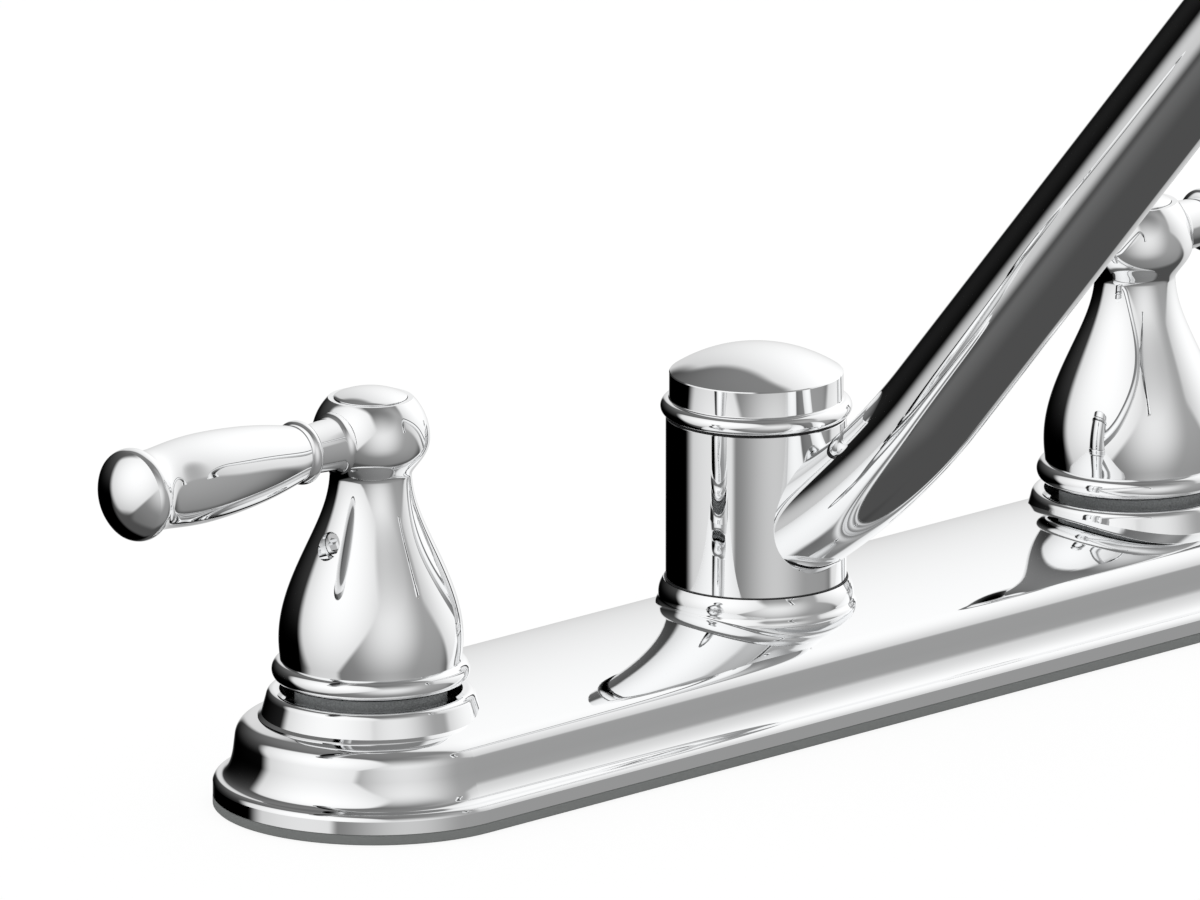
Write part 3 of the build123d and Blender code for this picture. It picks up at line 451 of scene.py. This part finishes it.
spoutRing = {
    "neck": 17.95,
    "neckTop": 18.75,
    "lip": [(18.4, 18.9), (18.78, 19.1), (18.9, 19.5)],
    "waist": [(18.9, 19.5), (18.85, 20.2), (18.3, 20.4), (18.36, 21.0)],
    "bead": [(18.36, 21.0), (18.42, 21.6), (18.4, 22.9), (17.8, 23.7), (17.42, 24.3)],
    "postBore": 14.85,
    "hubRecess": 17.32,
    "recessFloor": 22.9,
    "cutTop": 30.0,
}
gasket = {"edge": 30.2, "topBevel": 0.25, "footBevel": 0.2, "hole": 11.48, "cutPast": 5.0}


def archLevel(across):
    reach, foot = plate["archRadius"], collar["radius"]
    return faucet["plateTop"] + sqrt(reach**2 - across**2) - sqrt(reach**2 - foot**2)


def plateSection():
    # from the ridge out, down the shoulder and the cove, and back under the ceiling
    size = plate
    edge, foot, half = size["edge"], faucet["gasketTop"], size["archFoot"] / 2
    inner = edge - size["wall"]
    archFoot = (size["archFoot"], archLevel(size["archFoot"]))
    points = arc((0, archLevel(0)), (half, archLevel(half)), archFoot, 72)
    points += curve([archFoot] + size["shoulder"] + [size["wallTop"]], 20)[1:]
    points += curve(size["cove"], 28)
    points += arc(size["cove"][-1], size["bandShoulder"], size["bandTop"], 8)[1:]
    points += [(edge, foot), (inner, foot), (inner, size["bandTop"][1])]
    return points + size["lining"] + [(0, size["ceiling"])]


def longShell(points, steps):
    # carries a half section along the front, round one end, along the back and round the other
    bm = bmesh.new()
    half = plate["halfStraight"]
    row = [bm.verts.new((-half, -r, z)) for r, z in points]
    edges = [bm.edges.new(pair) for pair in zip(row, row[1:])]
    for direction in (1, -1):
        verts, edges = split(bmesh.ops.extrude_edge_only(bm, edges=edges)["geom"])
        bmesh.ops.translate(bm, verts=verts, vec=(direction * 2 * half, 0, 0))
        end = bmesh.ops.spin(bm, geom=verts + edges, axis=up, cent=(direction * half, 0, 0),
                             angle=pi, steps=steps)
        edges = split(end["geom_last"])[1]
    bmesh.ops.remove_doubles(bm, verts=bm.verts, dist=weld)
    bmesh.ops.dissolve_degenerate(bm, dist=weld, edges=bm.edges)
    bmesh.ops.recalc_face_normals(bm, faces=bm.faces)
    return bm


def collarPoints():
    # raised collar with a round crest
    radius, foot, top = collar["radius"], plate["bossFoot"], faucet["collarTop"]
    points = [(0, foot), (radius, foot), (radius, faucet["plateTop"]), collar["side"]]
    return points + arc(*collar["crest"], (collar["mouth"], top), 12) + [(0, top)]


def collarCut():
    # stepped hole for the valve body and the hub nut
    size, floor, recess = collar, faucet["recessFloor"], faucet["recessRadius"]
    top = faucet["collarTop"] + size["cutPast"]
    return [(0, 0), (size["shoulderBore"], 0), (size["shoulderBore"], size["shoulderLevel"]),
            (size["barrelBore"], size["shoulderLevel"]), (size["barrelBore"], floor),
            (recess, floor), (recess, top), (0, top)]


def ringPoints():
    # ring under the spout: a sloping lip, a shallow waist and a bead that overhangs the plate
    size, foot = spoutRing, plate["bossFoot"]
    points = [(0, foot), (size["neck"], foot), (size["neck"], size["neckTop"])]
    points += arc(*size["lip"], 8) + curve(size["waist"], 16)[1:] + curve(size["bead"], 20)[1:]
    return points + [(0, size["bead"][-1][1])]


def buildPlate():
    sides = [sign * faucet["handleAxis"] for sign in handles.values()]
    bore, floor, top = spoutRing["postBore"], spoutRing["recessFloor"], spoutRing["cutTop"]
    recess = [(0, 0), (bore, 0), (bore, floor), (spoutRing["hubRecess"], floor),
              (spoutRing["hubRecess"], top), (0, top)]
    tools = [(turnedTool("ringTool", ringPoints()), "UNION")]
    tools += [(turnedTool("collarTool", collarPoints(), side), "UNION") for side in sides]
    tools += [(turnedTool("recessTool", collarCut(), side), "DIFFERENCE") for side in sides]
    tools.append((turnedTool("hubRecess", recess), "DIFFERENCE"))
    body = looseMesh("plateShell", longShell(plateSection(), plate["steps"]))
    piece = meshPiece("deckPlate", carve(body, tools), Matrix.Scale(mm, 4), "base",
                      "polished_chrome", plateChrome)
    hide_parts("deck_plate")


def buildGasket():
    size, top = gasket, faucet["gasketTop"]
    edge, past = size["edge"], size["cutPast"]
    rim = [(0, top), (edge - size["topBevel"], top), (edge, top - size["topBevel"]),
           (edge, size["footBevel"]), (edge - size["footBevel"], 0), (0, 0)]
    hole = [(0, -past), (size["hole"], -past), (size["hole"], past), (0, past)]
    tools = [(turnedTool("gasketHole", hole, sign * faucet["handleAxis"], 64), "DIFFERENCE")
             for sign in handles.values()]
    body = looseMesh("gasketSheet", longShell(rim, 48))
    piece = meshPiece("deckGasket", carve(body, tools), Matrix.Scale(mm, 4), "base",
                      "grey_gasket")
    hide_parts("deck_gasket")


buildPlate()
buildGasket()
print("plate and gasket built")

spoutHub = {"bore": 14.6, "bevel": 0.15}


def buildHub():
    foot, top, radius = faucet["hubFoot"], faucet["hubTop"], faucet["hubRadius"]
    bore, bevel = spoutHub["bore"], spoutHub["bevel"]
    wall = [(bore, foot), (radius - bevel, foot), (radius, foot + bevel), (radius, top - bevel),
            (radius - bevel, top), (bore, top)]
    piece = turnedPiece("spoutHub", closed(wall), Matrix.Scale(mm, 4), "spout",
                        "polished_chrome", 160)
    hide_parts("spout_hub")


spoutCap = {
    "nipple": 9.1,
    "skirtBore": 16.45,
    "lip": 16.9,
    "lift": 0.38,
    "bead": 18.0,
    "beadHeight": 3.5,
    "beadWidest": 0.55,  # share of its height
    "fillet": 0.35,
    "filletMiddle": 0.1,
    "radius": 16.35,
    "wallHeight": 5.1,
    "bevel": (0.15, 0.2),
    "domeHeight": 4.85,
    "under": 0.8,
}


def buildCap():
    size, top = spoutCap, faucet["hubTop"]
    nipple, bore, radius = size["nipple"], size["skirtBore"], size["radius"]
    fillet, middle = size["fillet"], size["filletMiddle"]
    lipFoot, under = top + size["lift"], top + size["under"]
    beadLevel = top + size["beadWidest"] * size["beadHeight"]
    wallFoot = top + size["beadHeight"]
    wallTop = wallFoot + size["wallHeight"]
    inset, drop = size["bevel"]
    points = [(nipple, wallTop), (nipple, under), (bore, under), (bore, lipFoot)]
    points += arc((size["lip"], lipFoot), (size["bead"], beadLevel), (radius + fillet, wallFoot),
                  24)
    points += arc((radius + fillet, wallFoot), (radius + middle, wallFoot + middle),
                  (radius, wallFoot + fillet), 5)
    points += [(radius, wallTop - drop)] + dome(radius - inset, wallTop, size["domeHeight"], 32)
    points += [(0, wallTop), (nipple, wallTop)]
    piece = turnedPiece("spoutCap", points, Matrix.Scale(mm, 4), "base", "polished_chrome", 160)
    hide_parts("spout_cap")


glideRings = {
    "hubGap": 0.2,
    "nippleGap": 0.15,
    "faceGap": 0.02,
    "height": 0.78,
    "cup": (0.06, 0.26, 0.8),  # inside and outside past the hub's side, and how far up it
    "lip": (0.05, 0.36),  # inside the hub's side, and how far up under the cap
    "capBore": 16.4,
}


def buildGlideRings():
    # black rings that the hub turns on; their cup and lip reach up into the gaps above and below
    # the hub, where their near-black edges show as thin lines that stand in for painted shade in
    # those gaps
    size, foot, top, edge = glideRings, faucet["hubFoot"], faucet["hubTop"], faucet["hubRadius"]
    gap, height = size["faceGap"], size["height"]
    bore, nipple = spoutHub["bore"] + size["hubGap"], spoutCap["nipple"] + size["nippleGap"]
    cupInside, cupOutside, cupTop = size["cup"]
    lipInset, lipTop = size["lip"]
    low = [(bore, foot - height), (edge + cupOutside, foot - height),
           (edge + cupOutside, foot + cupTop), (edge + cupInside, foot + cupTop),
           (edge + cupInside, foot - gap), (bore, foot - gap)]
    high = [(nipple, top + gap), (edge - lipInset, top + gap), (edge - lipInset, top + lipTop),
            (size["capBore"], top + lipTop), (size["capBore"], top + height),
            (nipple, top + height)]
    for name, points, node in (("lowerGlideRing", low, "lower_glide_ring"),
                               ("upperGlideRing", high, "upper_glide_ring")):
        piece = turnedPiece(name, closed(points), Matrix.Scale(mm, 4), "base", "black_plastic")
        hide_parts(node)


spoutTube = {
    "radius": 9.525,
    "wall": 1.07,
    "rootHeight": 16.15,
    "rootDepth": 7.0,  # how far inside the hub's side the tube starts
    "rootAngle": 35.0,
    "rootBend": 173.7,
    "riseAngle": 48.86,
    "riseLength": 116.7,
    "crownBend": 48.0,
    "nozzleAngle": -80.0,
    "nozzleLength": 7.0,
    "around": 96,
    "hubClear": (15.6, -5.0, 75.0),  # radius, foot and top of the space kept inside the hub
}


def spoutPoint(forward, height):
    return Vector((0, -forward, height))


def buildTube():
    # a ring of the tube's section, carried along by runs and bends; returns mouth and heading
    size = spoutTube
    bm = bmesh.new()
    heading = radians(size["rootAngle"])
    at = Vector((faucet["hubRadius"], faucet["hubFoot"] + size["rootHeight"]))
    at -= Vector((cos(heading), sin(heading))) * size["rootDepth"]
    bmesh.ops.create_circle(bm, segments=size["around"], radius=size["radius"])
    turn = up.rotation_difference(spoutPoint(cos(heading), sin(heading))).to_matrix().to_4x4()
    bm.transform(Matrix.Translation(spoutPoint(*at)) @ turn)
    verts, ring = list(bm.verts), list(bm.edges)

    def run(length):
        nonlocal verts, ring, at
        step = Vector((cos(heading), sin(heading))) * length
        verts, ring = split(bmesh.ops.extrude_edge_only(bm, edges=ring)["geom"])
        bmesh.ops.translate(bm, verts=verts, vec=spoutPoint(*step))
        at = at + step

    def bend(radius, target, steps):
        nonlocal verts, ring, at, heading
        angle = radians(target) - heading
        sign = 1 if angle > 0 else -1
        centre = at + Vector((-sin(heading), cos(heading))) * radius * sign
        made = bmesh.ops.spin(bm, geom=verts + ring, axis=(-1, 0, 0), cent=spoutPoint(*centre),
                              angle=angle, steps=steps)
        verts, ring = split(made["geom_last"])
        heading += angle
        at = centre - Vector((-sin(heading), cos(heading))) * radius * sign

    run(size["rootDepth"])
    bend(size["rootBend"], size["riseAngle"], 24)
    run(size["riseLength"])
    bend(size["crownBend"], size["nozzleAngle"], 96)
    run(size["nozzleLength"])
    bmesh.ops.recalc_face_normals(bm, faces=bm.faces)
    bmesh.ops.solidify(bm, geom=bm.faces[:], thickness=size["wall"])
    radius, foot, top = size["hubClear"]
    clear = turnedTool("hubClear", [(0, foot), (radius, foot), (radius, top), (0, top)])
    cut = carve(looseMesh("tubeShell", bm), [(clear, "DIFFERENCE")])
    piece = meshPiece("spoutTube", cut, Matrix.Scale(mm, 4), "spout", "polished_chrome")
    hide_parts("spout_tube")
    return spoutPoint(*at), spoutPoint(cos(heading), sin(heading))


aerator = {
    "radius": 11.9,
    "length": 14.8,
    "grip": 7.0,  # how far it reaches up over the tube
    "boreGap": 0.1,
    "round": 0.8,
    "lip": 8.2,
    "lipHeight": 1.1,
}


def buildAerator(mouth, along):
    size = aerator
    radius, soft = size["radius"], size["round"]
    bore, half = spoutTube["radius"] + size["boreGap"], soft * (1 - sqrt(0.5))
    low, high = -size["grip"], size["length"] - size["grip"]
    shoulder = high - size["lipHeight"]
    points = [(bore, low)]
    points += arc((radius - soft, low), (radius - half, low + half), (radius, low + soft), 8)
    points += arc((radius, high - soft), (radius - half, high - half), (radius - soft, high), 8)
    points += [(size["lip"], high), (size["lip"], shoulder), (bore, shoulder)]
    piece = turnedPiece("aeratorHousing", closed(points), axisPlace(mouth, along), "spout",
                        "polished_chrome")
    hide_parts("aerator_housing")


buildHub()
buildCap()
buildGlideRings()
buildAerator(*buildTube())
print("spout built")


def outward(side):
    # from the spout to the handle, which is where the lever points
    return Vector((handles[side], 0, 0))


def handlePlace(side, level=0.0, direction=up):
    return axisPlace((handles[side] * faucet["handleAxis"], 0, level), direction)


def sideTool(points, level, direction):
    # a turned tool that lies across the handle's axis
    bm = bmesh.new()
    turnProfile(bm, points, 48)
    turn = up.rotation_difference(direction).to_matrix().to_4x4()
    bm.transform(Matrix.Translation((0, 0, level)) @ turn)
    return looseMesh("sideTool", bm)


valveBody = {
    "foot": -50.0,
    "core": 9.45,
    "crest": 10.48,
    "lead": 0.5,
    "widening": 0.6,  # from core to crest, just below the deck's face
    "flange": (17.0, 6.0),
    "shoulder": (15.0, 16.5),
    "barrel": (11.4, 32.7),
    "bore": 9.5,
    "seat": 5.0,
    "gallery": (11.2, 6.5, 15.7),  # radius, foot and top
    "shankBore": 6.2,
    "pitch": 1.814,
    "ridgeSink": 0.12,
    "ridgeSteps": 48,
    "threads": [(-49.0, 7), (-32.6, 17)],  # where each thread starts and its turns
    "portLevel": 8.6,
    "portReach": 19.0,
    "boss": (5.66, 12.0),  # radius, and distance of its start from the handle's axis
    "port": (3.9, 5.0),
    "socket": (4.81, 13.2),
    "cutPast": 1.0,
}


def threadTool(start, turns):
    # a ridge with sixty degree flanks, wound up the shank
    size = valveBody
    crest, root, flat = size["crest"], size["core"] - size["ridgeSink"], size["pitch"] / 16
    foot, steps = flat + (crest - root) / sqrt(3), size["ridgeSteps"]
    ridge = closed([(root, -foot), (crest, -flat), (crest, flat), (root, foot)])
    bm = bmesh.new()
    bmesh.ops.spin(bm, geom=drawProfile(bm, raised(ridge, start)), axis=up, cent=(0, 0, 0),
                   angle=2 * pi * turns, steps=steps * turns, dvec=(0, 0, size["pitch"] / steps))
    bmesh.ops.remove_doubles(bm, verts=bm.verts, dist=weld)
    bmesh.ops.holes_fill(bm, edges=bm.edges[:], sides=4)
    bmesh.ops.recalc_face_normals(bm, faces=bm.faces)
    return looseMesh("threadTool", bm)


def buildValveBody(side):
    size, deck = valveBody, faucet["gasketTop"]
    foot, core, crest, lead = size["foot"], size["core"], size["crest"], size["lead"]
    inlet, bore, seat = size["shankBore"], size["bore"], size["seat"]
    gallery, galleryFoot, galleryTop = size["gallery"]
    flange, shoulder, barrel = size["flange"], size["shoulder"], size["barrel"]
    points = [(inlet, foot), (core - lead, foot), (core, foot + lead), (core, -size["widening"]),
              (crest, 0), (crest, deck), (flange[0], deck), flange, (shoulder[0], flange[1]),
              shoulder, (barrel[0], shoulder[1]), barrel, (bore, barrel[1]), (bore, galleryTop),
              (gallery, galleryTop), (gallery, galleryFoot), (bore, galleryFoot), (bore, seat),
              (inlet, seat)]
    bm = bmesh.new()
    turnProfile(bm, closed(points), 96)
    # the arm towards the spout, and the water way and the crossover tube's socket in it
    reach, past = size["portReach"], size["portReach"] + size["cutPast"]
    boss, bossStart = size["boss"]
    port, portStart = size["port"]
    socket, socketStart = size["socket"]
    arm = [(0, bossStart), (boss, bossStart), (boss, reach), (0, reach)]
    way = [(0, portStart), (port, portStart), (port, socketStart), (socket, socketStart),
           (socket, past), (0, past)]
    tools = [(threadTool(*thread), "UNION") for thread in size["threads"]]
    tools += [(sideTool(arm, size["portLevel"], -outward(side)), "UNION"),
              (sideTool(way, size["portLevel"], -outward(side)), "DIFFERENCE")]
    piece = meshPiece(side + "ValveBody", carve(looseMesh("valveBlank", bm), tools),
                      handlePlace(side), "base", "brass")
    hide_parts(side + "_valve_body")


indexButton = {
    "radius": 6.85,
    "sink": 1.0,  # into the ball's flat
    "rim": 1.4,
    "bevel": (0.3, 0.2),
    "dome": 1.4,
    "plugGap": 0.1,
    "plugDepth": 4.0,
}
setScrew = {
    "level": 51.6,
    "hole": (2.55, 4.4, 20.0),  # radius, inner end and outer end
    "radius": 2.45,
    "point": [(0, 0), (1.2, 0), (1.95, 0.6), (2.45, 1.1)],
    "endGap": 0.1,
    "face": 9.6,
    "bevel": 0.3,
    "socket": 1.44,
    "socketDepth": 2.0,
    "socketTool": 4.0,
}
bell = {
    "drop": 0.45,  # how far the skirt hangs below the handle's foot
    "skirtFoot": 16.65,
    "skirt": (18.5, 1.4),
    "skirtTop": (16.95, 3.6),
    "side": [(17.0, 4.2), (18.05, 12.32), (15.78, 17.55), (12.31, 25.89), (8.02, 30.66),
             (7.65, 38.9)],
    "underside": [(7.65, 38.9), (7.6, 39.9), (9.0, 41.4), (11.05, 43.0), (11.05, 46.0)],
    "ball": 11.05,
    "crownAngle": 22,
    "flat": 7.7,
    "buttonSeat": 6.95,
    "pocket": 5.0,
    "pocketDepth": 4.5,  # below the ball's centre
    "stemSocket": (4.05, 28.0, 18.6),  # radius, top and foot
    "boss": (6.6, 26.5),
    "hollow": [(8.32, 25.74), (11.11, 22.35), (13.2, 17.07), (15.16, 13.73), (15.1, 8.58)],
}


def bellPoints():
    # up the outside, down into the button's pocket, and back inside past the stem's socket
    size, centre = bell, faucet["ballLevel"] - faucet["handleFoot"]
    ball, flat, drop = size["ball"], size["flat"], size["drop"]
    flatRadius, flatLevel = sqrt(ball**2 - flat**2), centre + flat
    seat, seatLevel = size["buttonSeat"], flatLevel - indexButton["sink"]
    crown = radians(size["crownAngle"])
    pocket, floor = size["pocket"], centre - size["pocketDepth"]
    socket, socketTop, socketFoot = size["stemSocket"]
    start = (size["skirtFoot"], -drop)
    points = arc(start, size["skirt"], size["skirtTop"], 24)
    points += curve(size["side"], 48) + curve(size["underside"], 24)
    points += arc((ball, centre), (ball * cos(crown), centre + ball * sin(crown)),
                  (flatRadius, flatLevel), 28)
    points += [(seat, flatLevel), (seat, seatLevel), (pocket, seatLevel), (pocket, floor),
               (0, floor), (socket, socketTop), (socket, socketFoot),
               (size["boss"][0], socketFoot), size["boss"]]
    return points + curve(size["hollow"], 12) + [(size["hollow"][-1][0], -drop), start]


def buildBell(side):
    bm = bmesh.new()
    turnProfile(bm, raised(bellPoints(), faucet["handleFoot"]), 144)
    radius, start, end = setScrew["hole"]
    hole = [(0, start), (radius, start), (radius, end), (0, end)]
    tool = sideTool(hole, setScrew["level"], outward(side))
    cut = carve(looseMesh("bellShell", bm), [(tool, "DIFFERENCE")])
    piece = meshPiece(side + "HandleBody", cut, handlePlace(side), side + "_handle",
                      "polished_chrome")
    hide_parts(side + "_handle_body")


def buildSetScrew(side):
    # the screw under the lever: point, body, and a face with a hexagon socket
    size = setScrew
    face, radius, bevel, start = size["face"], size["radius"], size["bevel"], size["hole"][1]
    points = raised(size["point"], start + size["endGap"])
    points += [(radius, face - bevel), (radius - bevel, face), (0, face)]
    bm = bmesh.new()
    turnProfile(bm, points, 48)
    socket = bmesh.new()
    bmesh.ops.create_cone(socket, cap_ends=True, segments=6, radius1=size["socket"],
                          radius2=size["socket"], depth=size["socketTool"])
    middle = face - size["socketDepth"] + size["socketTool"] / 2
    socket.transform(Matrix.Translation((0, 0, middle)))
    cut = carve(looseMesh("screwBody", bm), [(looseMesh("screwSocket", socket), "DIFFERENCE")])
    meshPiece(side + "SetScrew", cut, handlePlace(side, size["level"], outward(side)),
              side + "_handle", "polished_chrome")


lever = {
    "lift": 0.55,  # above the ball's centre
    "start": 6.2,
    "seat": [(2.5, 10.78), (4.3, 10.19), (5.9, 9.36)],  # dished to sit on the ball
    "root": [(5.9, 9.36), (5.2, 9.98), (4.88, 10.9)],
    "bead": [(4.55, 17.2), (6.05, 18.6), (5.35, 20.0)],
    "grip": [(5.35, 20.0), (6.36, 25.46), (9.72, 36.97), (5.42, 37.25), (12.5, 48.3),
             (4.9, 54.6), (8.5, 60.1)],
    "rim": [(8.55, 60.1), (8.75, 61.2), (8.35, 62.6)],
    "reach": 66.35,
}


def buildLever(side):
    size = lever
    tenon, (rim, rimLevel) = size["seat"][0][0], size["rim"][-1]
    points = [(0, size["start"]), (tenon, size["start"])]
    points += arc(*size["seat"], 8) + arc(*size["root"], 10) + arc(*size["bead"], 20)
    points += curve(size["grip"], 56) + arc(*size["rim"], 12)[1:]
    points += dome(rim, rimLevel, size["reach"] - rimLevel, 24)[1:]
    place = handlePlace(side, faucet["ballLevel"] + size["lift"], outward(side))
    piece = turnedPiece(side + "Lever", points, place, side + "_handle", "polished_chrome")
    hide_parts(side + "_lever")


def buildButton(side):
    size = indexButton
    radius, plug, (inset, drop) = size["radius"], bell["pocket"] - size["plugGap"], size["bevel"]
    low = faucet["ballLevel"] + bell["flat"] - size["sink"]
    foot, rim = low - size["plugDepth"], low + size["rim"]
    points = [(0, foot), (plug, foot), (plug, low), (radius, low), (radius, rim - drop)]
    points += dome(radius - inset, rim, size["dome"], 20)
    piece = turnedPiece(side + "IndexButton", points, handlePlace(side), side + "_handle",
                        "polished_chrome", 96)
    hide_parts(side + "_index_button")


hubNut = {"bore": 11.5, "radius": 14.2, "height": 8.0, "bevel": 0.3}


def buildHubNut(side):
    bore, radius, height = hubNut["bore"], hubNut["radius"], hubNut["height"]
    bevel, inset = hubNut["bevel"], radius - hubNut["bevel"]
    points = [(bore, 0), (inset, 0), (radius, bevel), (radius, height - bevel), (inset, height),
              (bore, height)]
    piece = turnedPiece(side + "HubNut", closed(raised(points, faucet["recessFloor"])),
                        handlePlace(side), "base", "dark_nut", 96)
    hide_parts(side + "_hub_nut")


for side in handles:
    buildValveBody(side)
    buildBell(side)
    buildSetScrew(side)
    buildLever(side)
    buildButton(side)
    buildHubNut(side)
print("handles built")

studio = {
    "azimuth": -45.0,
    "elevation": 15.0,
    "target": (-12.1, 29.3, 45.5),
    "lens": 1200.0,
    "sensor": 36.0,
    "frameWidth": 225.27,  # of the object's middle, across the picture
    "floorReach": 3.0,
    "floorDrop": 0.2,
    "floorColour": 0.8,
    "floorGlow": 1.01,
    "floorShade": 0.12,  # how much of the floor's white the object's shadow can take away
    "room": (0.077, 0.113),  # below and above the horizon
    "horizon": 0.15,  # how far the two blend into each other
}
# What the metal mirrors. A card is what lies inside all its edges: inward normal, offset, softness.
studioCards = {
    "ceilingGlow": {
        "edges": [((0.68, -0.02, 0.73), 0.50, 0.86)],
        "level": 0.235, "tilt": (0, 0, 0)},
    "blackFloor": {
        "edges": [((0.79, 0.61, 0.06), 0, 0.16), ((-0.82, 0.56, 0.03), 0, 0.35),
                  ((0, -0.06, -1.0), -0.41, 1.15)],
        "level": 0.0, "tilt": (0, 0, 0)},
    "greyWall": {
        "edges": [((0.16, -0.88, -0.44), 0, 0.19), ((-0.52, -0.82, -0.23), 0, 0.35),
                  ((-0.25, -0.59, 0.76), -0.51, 0.19), ((0.23, 0.63, -0.74), -0.91, 0.18)],
        "level": 0.25, "tilt": (0.03, -0.11, 0.09)},
    "wallGlow": {
        "edges": [((-0.41, -0.89, 0.19), 0.94, 0.70)],
        "level": 0.72, "tilt": (0.04, -0.43, 0.2)},
    "leftWindow": {
        "edges": [((-0.75, -0.50, 0.43), 0, 0.22), ((-0.92, -0.05, -0.40), 0, 0.14),
                  ((-0.37, 0.59, 0.72), 0, 0.09), ((-0.88, 0.42, -0.21), 0, 0.16),
                  ((-0.20, 0, 0.98), -0.37, 0.21)],
        "level": 0.286, "tilt": (-0.66, 0.04, 0.45)},
    "backWindow": {
        "edges": [((0.81, -0.51, 0.29), 0, 0.10), ((0.94, -0.17, -0.30), 0, 0.12),
                  ((0.84, 0.42, -0.35), 0, 0.125), ((0.47, 0.55, 0.69), 0, 0.10)],
        "level": -0.09, "tilt": (1.14, 0.12, 0.48)},
}


def buildCamera():
    data = bpy.data.cameras.new("studioCamera")
    data.lens = studio["lens"]
    data.sensor_width = studio["sensor"]
    data.clip_start, data.clip_end = 0.1, 60
    camera = bpy.data.objects.new("studioCamera", data)
    bpy.context.collection.objects.link(camera)
    a, e = radians(studio["azimuth"]), radians(studio["elevation"])
    back = Vector((sin(a) * cos(e), -cos(a) * cos(e), sin(e)))
    distance = studio["frameWidth"] * mm * studio["lens"] / studio["sensor"]
    camera.location = Vector(studio["target"]) * mm + back * distance
    camera.rotation_euler = back.to_track_quat("Z", "Y").to_euler()
    bpy.context.scene.camera = camera


def buildFloor():
    # pale paper, white to the camera with a faint shadow, and clear to mirror rays and from below
    bm = bmesh.new()
    bmesh.ops.create_circle(bm, cap_ends=True, segments=64, radius=studio["floorReach"])
    bm.transform(Matrix.Translation((0, 0, -studio["floorDrop"] * mm)))
    floor = looseMesh("studioFloor", bm)
    finish = bpy.data.materials.new("studioFloor")
    finish.use_nodes = True
    tree = finish.node_tree
    tree.nodes.clear()
    rays = newNode(tree, "ShaderNodeLightPath").outputs
    seen, colour, shade = rays["Is Camera Ray"], studio["floorColour"], studio["floorShade"]
    dim = mathNode(tree, "MULTIPLY", seen, colour - shade)
    paper = newNode(tree, "ShaderNodeBsdfDiffuse",
                    {"Color": mathNode(tree, "SUBTRACT", colour, dim)})
    light = mathNode(tree, "MULTIPLY", seen, studio["floorGlow"] - shade)
    glow = newNode(tree, "ShaderNodeEmission", {"Strength": light})
    lit = newNode(tree, "ShaderNodeAddShader", {0: paper.outputs[0], 1: glow.outputs[0]})
    unseen = newNode(tree, "ShaderNodeBsdfTransparent")
    facing = newNode(tree, "ShaderNodeNewGeometry").outputs["Backfacing"]
    solid = mathNode(tree, "MULTIPLY", mathNode(tree, "SUBTRACT", 1.0, facing),
                     mathNode(tree, "SUBTRACT", 1.0, rays["Is Glossy Ray"]))
    mix = newNode(tree, "ShaderNodeMixShader", {0: solid, 1: unseen.outputs[0], 2: lit.outputs[0]})
    newNode(tree, "ShaderNodeOutputMaterial", {0: mix.outputs[0]})
    floor.data.materials.append(finish)


def dotNode(tree, first, second):
    return vectorNode(tree, "DOT_PRODUCT", first, second).outputs["Value"]


def smoothNode(tree, value, low, high, first=0.0, last=1.0):
    # smooth step from one value to another between two levels
    inputs = {"Value": value, "From Min": low, "From Max": high, "To Min": first, "To Max": last}
    return newNode(tree, "ShaderNodeMapRange", inputs,
                   interpolation_type="SMOOTHSTEP").outputs["Result"]


def buildSoftEdge():
    # narrows a mask to one side of a soft edge
    group, given = startGroup(
        "softEdge",
        [("Direction", "NodeSocketVector", None), ("Inward", "NodeSocketVector", (0.0, 0.0, 1.0)),
         ("Offset", "NodeSocketFloat", 0.0), ("Softness", "NodeSocketFloat", 0.1),
         ("Mask", "NodeSocketFloat", 1.0)],
        [("Mask", "NodeSocketFloat")])
    past = mathNode(group, "SUBTRACT", dotNode(group, given["Direction"], given["Inward"]),
                    given["Offset"])
    step = smoothNode(group, mathNode(group, "DIVIDE", past, given["Softness"]), -0.5, 0.5)
    newNode(group, "NodeGroupOutput", {"Mask": mathNode(group, "MULTIPLY", step, given["Mask"])})
    return group


def buildWorld():
    # plain white for the camera and the light, and the studio's cards for what the metal mirrors
    world = bpy.data.worlds.new("studioWorld")
    bpy.context.scene.world = world
    world.use_nodes = True
    tree = world.node_tree
    softEdge = buildSoftEdge()
    direction = newNode(tree, "ShaderNodeTexCoord").outputs["Generated"]
    horizon = studio["horizon"]
    tone = smoothNode(tree, dotNode(tree, direction, up), -horizon, horizon, *studio["room"])
    for card in studioCards.values():
        mask = 1.0
        for inward, offset, softness in card["edges"]:
            inputs = {"Direction": direction, "Inward": inward, "Offset": offset,
                      "Softness": softness, "Mask": mask}
            mask = newNode(tree, "ShaderNodeGroup", inputs, node_tree=softEdge).outputs["Mask"]
        lean = mathNode(tree, "ADD", dotNode(tree, direction, card["tilt"]), card["level"])
        tone = mixNode(tree, "FLOAT", mask, tone, mathNode(tree, "MAXIMUM", lean, 0.0))
    rays = newNode(tree, "ShaderNodeLightPath").outputs
    mirrored = mixNode(tree, "FLOAT", rays["Is Glossy Ray"], 1.0, tone)
    wire(tree, tree.nodes["Background"], {"Color": mirrored})


buildCamera()
buildFloor()
buildWorld()
bpy.context.scene.view_settings.view_transform = "Standard"
print("studio built")
